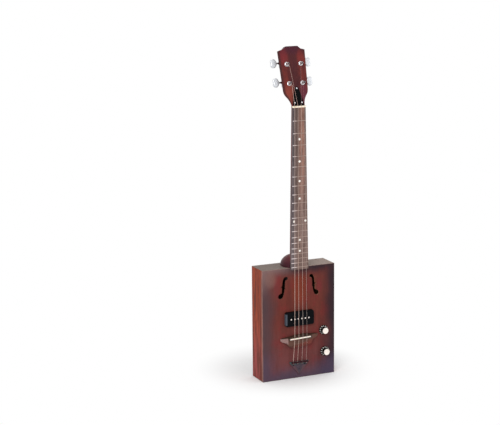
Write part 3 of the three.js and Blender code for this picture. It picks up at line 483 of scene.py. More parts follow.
def crossed(head, half_x, half_y, low, high):
    """Sinks a cross in a screw head: one arm of these half sizes, and one turned by a right angle."""
    for x, y in ((half_x, half_y), (half_y, half_x)):
        combine(head, block((-x, -y, low), (x, y, high)))
    return head


def screws_at(radius, rise, matrices):
    """Round screw heads with a cross in them, one at each place."""
    head = halve(ball((radius, radius, rise), (0, 0, 0), 24, 12), (0, 0, 0), (0, 0, 1))
    return repeated(crossed(head, radius * 0.62, radius * 0.13, rise * 0.45, rise * 1.2), matrices)


def facing(x, y, z, direction, spin=0.0):
    """A place, with +Z turned to a direction and then spun about it."""
    turn = Vector((0, 0, 1)).rotation_difference(Vector(direction)).to_matrix().to_4x4()
    return moved_to(x, y, z) @ turn @ Matrix.Rotation(spin, 4, "Z")


# Finishes


class Value:
    """An output of a node, on which shader maths is written as Python expressions."""

    def __init__(self, nodes, socket):
        self.nodes = nodes
        self.socket = socket

    def maths(self, operation, *values):
        return self.nodes.maths(operation, *values)

    def __add__(self, other):
        return self.maths("ADD", self, other)

    __radd__ = __add__

    def __sub__(self, other):
        return self.maths("SUBTRACT", self, other)

    def __rsub__(self, other):
        return self.maths("SUBTRACT", other, self)

    def __mul__(self, other):
        return self.maths("MULTIPLY", self, other)

    __rmul__ = __mul__

    def __truediv__(self, other):
        return self.maths("DIVIDE", self, other)

    def __abs__(self):
        return self.maths("ABSOLUTE", self)

    def least(self, other):
        return self.maths("MINIMUM", self, other)

    def most(self, other):
        return self.maths("MAXIMUM", self, other)

    def blend_least(self, other, reach):
        """The lesser value, rounded where the two meet."""
        return self.maths("SMOOTH_MIN", self, other, reach)

    def rise(self, low, high):
        """0 below low and 1 above high, smooth between them."""
        return self.nodes.node(
            "ShaderNodeMapRange", {"interpolation_type": "SMOOTHSTEP"},
            {"Value": self, "From Min": low, "From Max": high, "To Min": 0.0, "To Max": 1.0},
        )


class Nodes:
    """Adds nodes to a tree."""

    def __init__(self, tree):
        self.tree = tree

    def node(self, kind, settings=None, inputs=None, output=0):
        """Adds a node, sets it up and links it, and gives one of its outputs."""
        made = self.tree.nodes.new(kind)
        for name, value in (settings or {}).items():
            setattr(made, name, value)
        for key, value in (inputs or {}).items():
            if isinstance(value, Value):
                self.tree.links.new(value.socket, made.inputs[key])
            else:
                made.inputs[key].default_value = value
        return Value(self, made.outputs[output])

    def maths(self, operation, *values):
        return self.node("ShaderNodeMath", {"operation": operation}, dict(enumerate(values)))

    def seen_directly(self):
        """1 for the camera, and for what mirrors or lets through."""
        paths = [
            self.node("ShaderNodeLightPath", output=name)
            for name in ("Is Camera Ray", "Is Glossy Ray", "Is Transmission Ray")
        ]
        return paths[0].most(paths[1]).most(paths[2])


class Finish(Nodes):
    """A procedural material. Places in it are millimetres in the guitar's frame."""

    def __init__(self, name):
        self.material = bpy.data.materials.new(name)
        self.material.use_nodes = True
        super().__init__(self.material.node_tree)
        self.shader = self.tree.nodes["Principled BSDF"]
        metres = self.node("ShaderNodeTexCoord", output="Object")
        self.place = self.node("ShaderNodeVectorMath", {"operation": "SCALE"}, {0: metres, "Scale": 1 / MM})
        self.x, self.y, self.z = self.split(self.place)

    def split(self, vector):
        x = self.node("ShaderNodeSeparateXYZ", {}, {0: vector})
        return [x, *(Value(self, x.socket.node.outputs[name]) for name in "YZ")]

    def facing(self):
        """How much the surface looks along each axis, either way."""
        return [abs(part) for part in self.split(self.node("ShaderNodeNewGeometry", output="Normal"))]

    def spot(self, x, z, wide, tall):
        """1 at a place seen from the front, fading to 0 at the oval round it."""
        across, along = (self.x - x) / wide, (self.z - z) / tall
        return 1 - (across * across + along * along).rise(0.0, 1.0)

    def noise(self, size, stretch=(1, 1, 1), detail=2.0, roughness=0.5, shift=0.0, warp=0.0):
        """Noise from 0 to 1, its spots of about that size and stretched along the axes."""
        scaled = self.node("ShaderNodeMapping", {}, {
            "Vector": self.place, "Scale": tuple(1 / (size * part) for part in stretch),
            "Location": (shift, shift, shift),
        })
        return self.node("ShaderNodeTexNoise", {}, {
            "Vector": scaled, "Scale": 1.0, "Detail": detail, "Roughness": roughness, "Distortion": warp,
        })

    def mix(self, factor, first, second):
        first, second = (
            colour if isinstance(colour, Value) else (*colour, 1.0) for colour in (first, second)
        )
        return self.node("ShaderNodeMix", {"data_type": "RGBA"}, {0: factor, 6: first, 7: second}, 2)

    def shade(self, colour, shift):
        """A colour made lighter or darker by a value round 1."""
        return self.node("ShaderNodeVectorMath", {"operation": "SCALE"}, {0: colour, "Scale": shift})

    def bump(self, height, depth):
        """Relief of that depth."""
        self.set(Normal=self.node("ShaderNodeBump", {}, {"Height": height, "Distance": depth * MM}))

    def set(self, **sockets):
        for name, value in sockets.items():
            socket = self.shader.inputs[name.replace("_", " ")]
            if isinstance(value, Value):
                self.tree.links.new(value.socket, socket)
            else:
                socket.default_value = value


MATERIALS = {}


def finish(maker):
    """Makes the material that is named after its maker the first time that it is asked for."""
    def material():
        name = maker.__name__
        if name not in MATERIALS:
            made = Finish(name)
            MATERIALS[name] = made.material
            maker(made, bpy.context.scene.guitar_colours)
        return MATERIALS[name]
    return material


def grain(f, shift=0.0, axis="Z"):
    """Broad streaks, fine lines and pores of wood whose grain runs along an axis."""
    def along(length):
        return tuple(length if name == axis else 1 for name in "XYZ")
    broad = f.noise(11, along(9), 4, 0.6, shift, warp=0.4)
    fine = f.noise(1.5, along(26), 3, 0.6, shift + 4)
    pores = f.noise(0.42, along(11), 1, 0.5, shift + 9).rise(0.6, 0.72)
    return broad, fine, pores


def inside_box(f):
    """1 on the faces that look into the box."""
    return (
        (HALF_WIDTH - SIDE_THICKNESS + 0.3 - abs(f.x)).rise(0.0, 0.2)
        * (BACK_Y - PANEL_THICKNESS + 0.3 - abs(f.y)).rise(0.0, 0.2)
        * (f.z.least(BODY_TOP - f.z) - SIDE_THICKNESS + 0.3).rise(0.0, 0.2)
    )


@finish
def box_stain(f, colours):
    broad, fine, pores = grain(f)
    cloud = f.noise(46, (1, 1, 1.8), 3, 0.55, 3)
    side_on, _, end_on = (part.rise(0.6, 0.8) for part in f.facing())
    front = f.mix(f.z.rise(30.0, 190.0), colours.front_low, colours.front_middle)
    front = f.mix(broad.rise(0.4, 0.7) * 0.5, front, colours.front_streak)
    flame = f.noise(24, (1, 1, 1.6), 3, 0.6, 61).rise(0.48, 0.7)
    front = f.mix(flame * 0.5, front, stain(120, 42, 42))
    lines = f.noise(2.6, (1, 1, 40), 3, 0.6, 73).rise(0.5, 0.75)
    front = f.mix(lines * 0.3, front, f.shade(colours.front_streak, 0.7))
    # Painted shade: the front is darker towards the treble side, below the f holes.
    front = f.shade(front, 1 - f.x.rise(48.0, 66.0) * (1 - f.z.rise(190.0, 250.0)) * 0.14)
    front = f.mix(f.spot(3, 252, 30, 62) * 0.6, front, stain(124, 52, 32))
    for x, z, wide, tall in ((-64, 272, 16, 44), (31, 257, 12, 26), (63, 255, 12, 26)):
        front = f.mix(f.spot(x, z, wide, tall) * (0.2 + cloud * 0.5), front, stain(122, 42, 48))
    front = f.shade(front, 0.8 + cloud * 0.4)
    across = (HALF_WIDTH - abs(f.x)) / (52 - f.x * 0.06)
    inset = across.blend_least(f.z / 58, 0.4).blend_least((BODY_TOP - f.z) / 32, 0.4)
    burst = 1 - (inset + (cloud - 0.5) * 0.7 + (broad - 0.5) * 0.3).rise(0.0, 1.0)
    # Painted light: the burst is lighter on the bass side and darker on the treble side.
    edge = f.mix(f.x.rise(-70.0, 70.0), colours.edge_left, colours.edge_right)
    # Painted sheen: the burst is paler in the bass side's top corner.
    corner = (f.z * 1.6 - f.x).rise(470.0, 600.0)
    edge = f.mix(corner, edge, colours.edge_top)
    edge = f.mix(1 - (f.z + f.x * 0.15).rise(20.0, 90.0), edge, colours.edge_low)
    front = f.mix(burst * 0.92, front, f.shade(edge, 0.84 + cloud * 0.32))
    # Painted sheen: a paler spot in the bass side's top corner.
    front = f.mix(f.spot(-84, 286, 22, 30) * 0.45, front, stain(134, 98, 90))
    # Painted shade: a dark bluish patch in the treble side's tail corner.
    front = f.mix(f.spot(104, 10, 52, 62) * 0.6, front, stain(62, 56, 80))
    side = f.mix(f.z.rise(20.0, 200.0), colours.side_low, colours.side)
    side = f.mix(broad.rise(0.42, 0.6) * 0.9, side, colours.side_streak)
    figure = f.noise(5, (1, 1, 24), 3, 0.6, 52).rise(0.45, 0.7)
    side = f.mix(figure * 0.4, side, f.shade(colours.side_streak, 0.8))
    side = f.shade(side, 0.9 + cloud * 0.36)
    # The sides are paler towards the front edge: a painted highlight along the edge, with some wear.
    side = f.mix((1 - (f.y - FRONT_Y + fine * 4).rise(2.0, 14.0)) * 0.6, side, colours.worn)
    colour = f.mix(side_on, front, side)
    # Painted reflection: the ends are grey and lighter towards the treble side.
    colour = f.mix(end_on, colour, f.shade(colours.end, 0.9 + broad * 0.3 + f.x.rise(-60.0, 110.0) * 0.6))
    colour = f.shade(colour, 0.86 + fine * 0.28)
    colour = f.mix(pores * 0.4, colour, stain(38, 22, 22))
    to_side = HALF_WIDTH - abs(f.x)
    to_end = f.z.least(BODY_TOP - f.z)
    # Pale patches along the front's outer edges: wear with a painted highlight.
    arris = (f.y - FRONT_Y + to_side.least(to_end)).rise(0.4, 1.5)
    rubbed_and_highlit = (1 - arris) * f.noise(7, (1, 1, 3), 3, 0.6, 21).rise(0.3, 0.6)
    colour = f.mix(rubbed_and_highlit * 0.7, colour, colours.worn)
    # Painted light in the f holes: the bass hole's walls are painted black as shade, the treble hole's walls
    # light brown as lit.
    in_hole = (
        (f.y - FRONT_Y).rise(0.4, 0.7) * (FRONT_Y + PANEL_THICKNESS - f.y).rise(-0.1, 0.0)
        * (72 - abs(f.x)).rise(0.0, 1.0) * (f.z - 220).rise(0.0, 1.0) * (BODY_TOP - 5 - f.z).rise(0.0, 1.0)
    )
    hole_wall_lit_and_shaded = f.mix(f.x.rise(-1.0, 1.0), stain(14, 8, 8), stain(150, 100, 78))
    # Painted shade: the faces inside the box are darkened.
    inside = inside_box(f)
    colour = f.mix(inside, colour, f.shade(colours.raw_wood, 0.4 + fine * 0.4))
    colour = f.mix(in_hole, colour, f.shade(hole_wall_lit_and_shaded, 0.8 + fine * 0.4))
    gloss = 0.46 + fine * 0.14 + pores * 0.12 + rubbed_and_highlit * 0.1
    f.set(Base_Color=colour, Roughness=gloss + inside * 0.3, Specular_IOR_Level=0.1)
    f.bump(fine * 0.4 - pores * 0.6 + broad * 0.3, 0.08)


@finish
def neck_stain(f, colours):
    broad, fine, pores = grain(f, 31)
    cloud = f.noise(38, (1, 1, 2), 3, 0.55, 12)
    colour = f.mix(broad.rise(0.36, 0.66) * 0.7, colours.neck, colours.neck_streak)
    on_head = (f.z - HEAD_Z).rise(0.0, 12.0)
    middle = (1 - (abs(f.x + 2) / 22).rise(0.3, 1.0)) * 0.8
    crown = (f.z - HEAD_Z - 118).rise(0.0, 34.0)
    colour = f.mix(on_head * middle.most(crown), colour, colours.neck_streak)
    for x, z, wide, tall, tint in (
        (-20, 786, 18, 40, (140, 66, 52)), (21, 782, 14, 46, (98, 40, 60)), (-27, 884, 16, 34, (116, 36, 44)),
        (2, 905, 34, 24, (70, 26, 42)), (22, 880, 12, 26, (120, 42, 40)),
    ):
        colour = f.mix(f.spot(x, z, wide, tall) * (0.5 + broad) * on_head * 0.6, colour, stain(*tint))
    colour = f.shade(colour, (0.74 + cloud * 0.52) * (0.86 + fine * 0.28))
    colour = f.mix(pores * 0.35, colour, stain(30, 16, 18))
    # Painted shade: the heel is made near black towards the box.
    on_heel = 1 - (f.z - BODY_TOP).rise(6.0, 24.0)
    colour = f.mix(on_heel * 0.9, colour, stain(18, 10, 12))
    on_ball = (1 - (f.z - BODY_TOP).rise(24.0, 34.0)) * (f.y - FACE_Y - 1.5).rise(0.0, 2.0)
    colour = f.mix(on_ball * 0.6, colour, f.shade(stain(74, 28, 40), 0.6 + broad * 0.8))
    # Painted shade: the head's side faces and rounded edges are darkened.
    on_edge = on_head * f.facing()[0].rise(0.3, 0.9)
    colour = f.mix(on_edge * 0.8, colour, stain(74, 42, 42))
    f.set(
        Base_Color=colour, Roughness=0.34 + fine * 0.1 + pores * 0.1 + on_edge * 0.4, Specular_IOR_Level=0.1,
        Coat_Weight=(0.05 + cloud * 0.05) * (1 - on_edge) + on_heel * (f.z - BODY_TOP).rise(12.0, 24.0) * 0.7,
        Coat_Roughness=0.22,
    )
    f.bump(fine * 0.4 - pores * 0.5, 0.05)


def rosewood(f, base, streak, shift, axis):
    """Rosewood whose grain runs along an axis."""
    broad, fine, pores = grain(f, shift, axis)
    figure = f.noise(6, (1, 1, 14) if axis == "Z" else (14, 1, 1), 4, 0.65, shift + 2, warp=0.8)
    colour = f.mix(figure.rise(0.42, 0.62) * 0.8, base, streak)
    colour = f.shade(colour, (0.82 + broad * 0.36) * (0.86 + fine * 0.28))
    colour = f.mix(pores * 0.6, colour, stain(34, 24, 22))
    f.set(Base_Color=colour, Roughness=0.46 + fine * 0.16 + pores * 0.15, Specular_IOR_Level=0.15)
    f.bump(fine * 0.3 - pores, 0.1)


@finish
def board_rosewood(f, colours):
    # Darker towards the nut and towards the bass side.
    tone_by_place = (0.98 - f.z.rise(320.0, 760.0) * 0.3) * (0.8 + f.x.rise(-26.0, 16.0) * 0.26)
    cool = (1 - f.x.rise(-17.0, -8.0)) * 0.7
    warm = f.x.rise(-6.0, 6.0) * (1 - f.x.rise(12.0, 17.0)) * f.z.rise(440.0, 640.0) * 0.8
    wood = [
        f.shade(f.mix(warm, f.mix(cool, base, stain(*grey)), stain(*bright)), tone_by_place)
        for base, grey, bright in (
            (colours.board, (120, 112, 116), (186, 136, 118)),
            (colours.board_streak, (92, 86, 92), (134, 96, 84)),
        )
    ]
    rosewood(f, *wood, 40, "Z")


@finish
def bridge_rosewood(f, colours):
    worn = f.noise(9, (2, 1, 1), 3, 0.6, 15)
    over = f.z - SADDLE_Z - f.x * 0.034
    stained = f.mix(
        ((f.x + 4) / 38 + (101 - f.z) / 10 + worn * 0.3).rise(0.0, 1.0), colours.bridge,
        colours.bridge_stained,
    )
    # Painted reflection: the bass wing is made pale, with some wear.
    rubbed_and_highlit = (
        (-34 - f.x).rise(0.0, 4.0) * (f.z - 101 + worn * 3).rise(0.0, 3.0) * (0.8 + worn * 0.4).least(1.0)
    )
    base = f.mix(rubbed_and_highlit, stained, colours.bridge_rubbed)
    treble = (f.x - 33).rise(0.0, 3.0)
    # Painted shade above the saddle and along the treble wing's upper edge.
    shaded = (over - (-34 - f.x).rise(0.0, 4.0) * 3.6).rise(-1.0, 1.0)
    shaded = shaded + treble * (over.rise(3.0, 4.6) - shaded)
    base = f.mix(shaded, base, colours.bridge_dark)
    rosewood(f, base, f.shade(base, 0.62), 70, "X")


@finish
def raw_wood(f, colours):
    broad, fine, pores = grain(f, 90)
    rings = f.noise(3.2, (1, 1, 40), 2, 0.5, 77).rise(0.4, 0.6)
    colour = f.mix(rings * 0.4, colours.raw_wood, stain(78, 54, 36))
    colour = f.shade(colour, 0.8 + broad * 0.25 + fine * 0.15)
    # Painted shade: a near black patch on the neck block where it shows through the bass f hole's upper curl.
    colour = f.mix(f.spot(-40, 288, 22, 30).rise(0.0, 0.4), colour, stain(26, 8, 8))
    f.set(Base_Color=colour, Roughness=0.7 + fine * 0.2)
    f.bump(fine - pores * 0.5, 0.12)


@finish
def bone(f, colours):
    veins = f.noise(1.4, (1, 6, 1), 4, 0.6, 5)
    cloud = f.noise(9, (1, 1, 1), 2, 0.5, 8)
    colour = f.mix(veins.rise(0.5, 0.75) * 0.35, colours.bone, stain(222, 196, 158))
    colour = f.mix((1 - f.z.rise(300.0, 700.0)) * 0.9, colour, stain(255, 240, 227))
    f.set(
        Base_Color=f.shade(colour, 0.93 + cloud * 0.12), Roughness=0.3 + veins * 0.15,
        Subsurface_Weight=0.12, Subsurface_Scale=0.002,
    )
    f.bump(veins, 0.03)


def moulded(f, base, rough, speckle, specular=0.12):
    """Moulded plastic: an even colour with faint mottling and fine scratches."""
    mottle = f.noise(13, (1, 1, 1), 3, 0.6, speckle)
    scratches = f.noise(0.5, (1, 1, 22), 2, 0.5, speckle + 3).rise(0.62, 0.78)
    orange = f.noise(0.9, (1, 1, 1), 1, 0.5, speckle + 6)
    colour = f.shade(base, 0.85 + mottle * 0.3)
    colour = f.mix(scratches * 0.25, colour, tuple(min(1, level * 2 + 0.02) for level in base))
    f.set(Base_Color=colour, Roughness=rough + mottle * 0.08 + scratches * 0.18, Specular_IOR_Level=specular)
    f.bump(orange * 0.6 - scratches, 0.025)


@finish
def black_plastic(f, _):
    moulded(f, stain(4, 4, 6), 0.34, 2, 0.05)


@finish
def cover_plastic(f, _):
    """The pickup cover's plastic, with a painted bluish sheen on its rounded bass end."""
    mottle = f.noise(13, (1, 1, 1), 3, 0.6, 41)
    scratches = f.noise(0.5, (22, 1, 1), 2, 0.5, 44).rise(0.62, 0.78)
    across = 0 - f.x
    # Painted sheen: a lighter bluish band on the bass end.
    sheen = (
        across.rise(37.5, 39.5) * (1 - across.rise(42.86, 42.9))
        * (1 - (abs(f.z - PICKUP_Z) - 14).rise(0.0, 3.0))
    )
    colour = f.mix(sheen * 0.85, f.shade(stain(5, 7, 11), 0.7 + mottle * 0.6), stain(82, 88, 98))
    f.set(Base_Color=colour, Roughness=0.34 + mottle * 0.08 + scratches * 0.18, Specular_IOR_Level=0.06)
    f.bump(mottle * 0.4 - scratches, 0.025)


@finish
def post_metal(f, _):
    """A winding post: bright round its side, with painted shade on its dished and slotted top."""
    patches = f.noise(1.5, (1, 1, 1), 3, 0.6, 8)
    # Painted shade on the faces that look to the front.
    front_on = f.facing()[1].rise(0.75, 0.9)
    colour = f.mix(front_on * 0.95, stain(190, 186, 188), stain(52, 38, 42))
    f.set(
        Base_Color=f.shade(colour, 0.85 + patches * 0.3), Metallic=0.9 + patches * 0.1,
        Roughness=0.22 + patches * 0.1,
    )
    f.bump(patches, 0.01)


@finish
def knob_plastic(f, _):
    moulded(f, stain(8, 5, 3), 0.3, 14)


@finish
def cap_plastic(f, colours):
    moulded(f, colours.cap, 0.34, 23)


@finish
def number_paint(f, colours):
    wear = f.noise(0.8, (1, 1, 1), 3, 0.6, 4)
    f.set(Base_Color=f.shade(colours.marks, 0.85 + wear * 0.25), Roughness=0.5 + wear * 0.2)


@finish
def coil_tape(f, _):
    weave = f.maths("SINE", f.z * 9.0) * f.maths("SINE", f.x * 9.0)
    tape = f.mix(weave.rise(-0.4, 0.4), stain(40, 34, 32), stain(66, 54, 46))
    f.set(Base_Color=tape, Roughness=0.7 + weave * 0.1)
    f.bump(weave, 0.05)


def metal(f, base, rough, size, wear, stretch=(1, 1, 1)):
    """Metal whose polish varies, with fine hairlines and some tarnish in patches."""
    patches = f.noise(size, (1, 1, 1), 4, 0.6, size)
    hairlines = f.noise(0.35, stretch, 2, 0.5, size + 5)
    tarnish = patches.rise(0.5, 0.8)
    colour = f.mix(tarnish * wear, base, tuple(level * 0.42 for level in base))
    f.set(
        Base_Color=colour, Metallic=1.0 - tarnish * 0.1,
        Roughness=rough + hairlines * 0.1 + tarnish * wear * 0.3,
    )
    f.bump(hairlines, 0.012)


@finish
def chrome(f, _):
    metal(f, stain(214, 214, 216), 0.12, 7, 0.25, (1, 1, 6))


@finish
def button_metal(f, _):
    """Bright on the buttons, with painted shade on the shafts beside the head."""
    patches = f.noise(16, (1, 1, 1), 3, 0.6, 30)
    hairlines = f.noise(0.35, (1, 1, 4), 2, 0.5, 35)
    bright = f.mix(patches.rise(0.5, 0.75) * 0.3, stain(206, 208, 212), stain(150, 156, 160))
    shaded_shaft = 1 - abs(f.x).rise(38.5, 40.5)
    f.set(
        Base_Color=f.mix(shaded_shaft, bright, stain(40, 22, 26)), Metallic=0.95 - shaded_shaft * 0.4,
        Roughness=0.26 + hairlines * 0.1 + patches * 0.05,
    )
    f.bump(hairlines, 0.012)


@finish
def steel(f, _):
    metal(f, stain(186, 183, 180), 0.26, 5, 0.4, (8, 1, 1))


@finish
def fret_wire(f, _):
    """Nickel silver, dull over most of each fret and bright at the bass end, where a sheen is painted."""
    wear = f.noise(6, (1, 1, 1), 4, 0.6, 6)
    hairlines = f.noise(0.35, (12, 1, 1), 2, 0.5, 11)
    painted_sheen = 1 - (f.x + wear * 8).rise(-12.0, -2.0)
    colour = f.mix(wear.rise(0.5, 0.8) * 0.4, stain(172, 150, 140), stain(116, 98, 90))
    f.set(
        Base_Color=f.mix(painted_sheen * 0.9, colour, stain(244, 232, 232)), Metallic=0.9 - painted_sheen * 0.35,
        Roughness=0.34 + hairlines * 0.1,
    )
    f.bump(hairlines, 0.012)


@finish
def pole_nickel(f, _):
    metal(f, stain(236, 226, 220), 0.42, 3, 0.15)


@finish
def string_steel(f, _):
    spots = f.noise(11, (1, 1, 4), 3, 0.6, 11)
    drawn = f.noise(0.35, (1, 1, 20), 2, 0.5, 16)
    # The strings are dimmer up the neck as painted shade, and darker over the head.
    bright = f.shade(stain(224, 206, 198), (0.9 + spots * 0.2) * (1 - f.z.rise(380.0, 520.0) * 0.25))
    over_head = (f.z - HEAD_Z).rise(0.0, 6.0)
    f.set(
        Base_Color=f.mix(over_head * 0.85, bright, stain(120, 76, 78)), Metallic=0.9 + drawn * 0.1,
        Roughness=0.36 + drawn * 0.1,
    )
    f.bump(drawn, 0.012)


@finish
def blackened_steel(f, _):
    metal(f, stain(48, 46, 48), 0.34, 4, 0.5, (3, 3, 1))


@finish
def dull_nickel(f, _):
    metal(f, stain(138, 114, 112), 0.4, 3, 0.4)


@finish
def brass(f, _):
    metal(f, stain(196, 152, 84), 0.24, 6, 0.4, (1, 1, 5))


@finish
def anchor_metal(f, _):
    cast = f.noise(1.1, (1, 1, 1), 3, 0.6, 3)
    patches = f.noise(12, (1, 1, 1), 3, 0.6, 9)
    colour = f.mix(patches.rise(0.45, 0.75) * 0.6, stain(72, 60, 70), stain(86, 74, 84))
    # Painted sheen: the plate is grey-teal above the triangle.
    colour = f.mix((f.z - 38 + patches * 4).rise(0.0, 6.0), colour, stain(78, 90, 92))
    flank = (abs(f.x) - (f.z - 12) * 0.42).rise(-1.0, 4.0) * (1 - f.z.rise(33.0, 37.0))
    colour = f.mix(flank * 0.8, colour, stain(96, 68, 74))
    # Painted shade: the raised bar is made dark.
    raised = (FRONT_Y - 3.0 - f.y).rise(0.0, 1.2)
    colour = f.mix(raised, colour, stain(52, 18, 26))
    f.set(
        Base_Color=f.shade(colour, 0.85 + cast * 0.3), Metallic=0.3 + patches * 0.2,
        Roughness=0.4 + cast * 0.16,
        Specular_IOR_Level=0.2,
    )
    f.bump(cast, 0.05)


@finish
def wound_bronze(f, _):
    wraps = f.maths("SINE", f.z * (2 * math.pi / 0.3))
    dull = f.noise(24, (1, 1, 3), 3, 0.6, 6)
    colour = f.mix((wraps * 0.5 + 0.5) * 0.12, stain(222, 196, 184), stain(186, 150, 134))
    # The strings are dimmer up the neck as painted shade, and darker over the head.
    colour = f.shade(colour, (0.9 + dull * 0.2) * (1 - f.z.rise(380.0, 520.0) * 0.3))
    f.set(
        Base_Color=f.mix((f.z - HEAD_Z).rise(0.0, 6.0) * 0.6, colour, stain(160, 124, 118)),
        Metallic=0.85 + dull * 0.1, Roughness=0.42 + dull * 0.15,
    )
    f.bump(wraps, 0.01)


@finish
def cable_jacket(f, _):
    moulded(f, stain(30, 30, 32), 0.5, 33)


@finish
def ceramic(f, _):
    glaze = f.noise(1.6, (1, 1, 1), 3, 0.6, 2)
    f.set(Base_Color=f.mix(glaze, stain(196, 92, 44), stain(150, 62, 30)), Roughness=0.35 + glaze * 0.2)
    f.bump(glaze, 0.04)


@finish
def pearl(f, _):
    swirl = f.noise(1.6, (1, 1, 2), 3, 0.6, 17, warp=1.2)
    colour = f.mix(swirl.rise(0.35, 0.65), stain(252, 246, 236), stain(224, 218, 212))
    f.set(Base_Color=colour, Roughness=0.2 + swirl * 0.15, Coat_Weight=0.3 + swirl * 0.2)


class PieceOperator:
    """What the operators of all pieces share: each can be undone."""

    bl_options = {"REGISTER", "UNDO"}


class GUITAR_OT_stage(PieceOperator, bpy.types.Operator):
    """Sets up the camera, the pale floor, the lamps and the even white surroundings"""

    bl_idname = "guitar.stage"
    bl_label = "Camera and stage"

    def execute(self, context):
        scene = context.scene
        stage = scene.guitar_stage
        scene.view_settings.view_transform = "Standard"
        level = math.cos(stage.elevation)
        back = Vector((
            math.sin(stage.azimuth) * level, -math.cos(stage.azimuth) * level, math.sin(stage.elevation)
        ))
        level_right = Vector((0, 0, 1)).cross(back).normalized()
        level_up = back.cross(level_right)
        right = level_right * math.cos(stage.roll) + level_up * math.sin(stage.roll)
        up = level_up * math.cos(stage.roll) - level_right * math.sin(stage.roll)
        target = Vector((0, FRONT_Y, 450)) * MM
        pixel = stage.distance / (stage.focal * PICTURE_WIDTH)
        spot = (
            target + back * stage.distance - right * (TARGET_ACROSS - PICTURE_WIDTH / 2) * pixel
            + up * (TARGET_DOWN - PICTURE_HEIGHT / 2) * pixel
        )
        deselect()
        bpy.ops.object.camera_add()
        camera = context.object
        camera.name = "camera"
        camera.matrix_world = Matrix.Translation(spot) @ Matrix((right, up, back)).transposed().to_4x4()
        camera.data.sensor_fit = "HORIZONTAL"
        camera.data.sensor_width = SENSOR_WIDTH
        camera.data.lens = SENSOR_WIDTH * stage.focal
        camera.data.clip_end = 100
        scene.camera = camera
        lit = Vector((0, 0, 0.42))
        for name, power, size, lamp_at in (
            ("key_lamp", stage.key, 1.6, (-1.9, -2.3, 2.2)),
            ("fill_lamp", stage.fill, 1.6, (2.3, -1.9, 1.2)),
            ("top_lamp", stage.top, 2.0, (0.1, 0.3, 3.0)),
        ):
            deselect()
            bpy.ops.object.light_add(type="AREA", location=lamp_at)
            lamp = context.object
            lamp.name = name
            lamp.data.energy = power
            lamp.data.size = size
            lamp.rotation_euler = (lit - Vector(lamp_at)).to_track_quat("-Z", "Y").to_euler()
        self.surroundings(scene, stage)
        self.floor()
        return {"FINISHED"}

    def surroundings(self, scene, stage):
        world = bpy.data.worlds.new("white_room")
        world.use_nodes = True
        scene.world = world
        nodes = Nodes(world.node_tree)
        even = nodes.node("ShaderNodeBackground", {}, {"Color": (1, 1, 1, 1), "Strength": stage.sky})
        seen = nodes.node("ShaderNodeBackground", {}, {"Color": (1, 1, 1, 1), "Strength": 1.0})
        mixed = nodes.node("ShaderNodeMixShader", {}, {0: nodes.seen_directly(), 1: even, 2: seen})
        world.node_tree.links.new(mixed.socket, world.node_tree.nodes["World Output"].inputs["Surface"])

    def floor(self):
        deselect()
        bpy.ops.mesh.primitive_plane_add(size=24, location=(0, 0, -0.0005))
        floor = bpy.context.object
        floor.name = "floor"
        bpy.ops.object.transform_apply(location=True, rotation=True, scale=True)
        f = Finish("pale_floor")
        dust = f.noise(60, (1, 1, 1), 3, 0.5, 1)
        pale = f.shade(stain(250, 250, 250), 0.985 + dust * 0.02)
        f.set(Base_Color=pale, Roughness=0.9, Specular_IOR_Level=0.2)
        white = f.node("ShaderNodeEmission", {}, {"Color": (1, 1, 1, 1), "Strength": 1.0})
        centre = f.node("ShaderNodeVectorMath", {"operation": "SUBTRACT"}, {0: f.place, 1: (0, 60, 0)})
        away = f.node("ShaderNodeVectorMath", {"operation": "LENGTH"}, {0: centre}, 1)
        fade = away.rise(95.0, 270.0) * f.seen_directly()
        mixed = f.node("ShaderNodeMixShader", {}, {0: fade, 1: Value(f, f.shader.outputs[0]), 2: white})
        f.tree.links.new(mixed.socket, f.tree.nodes["Material Output"].inputs["Surface"])
        floor.data.materials.append(f.material)


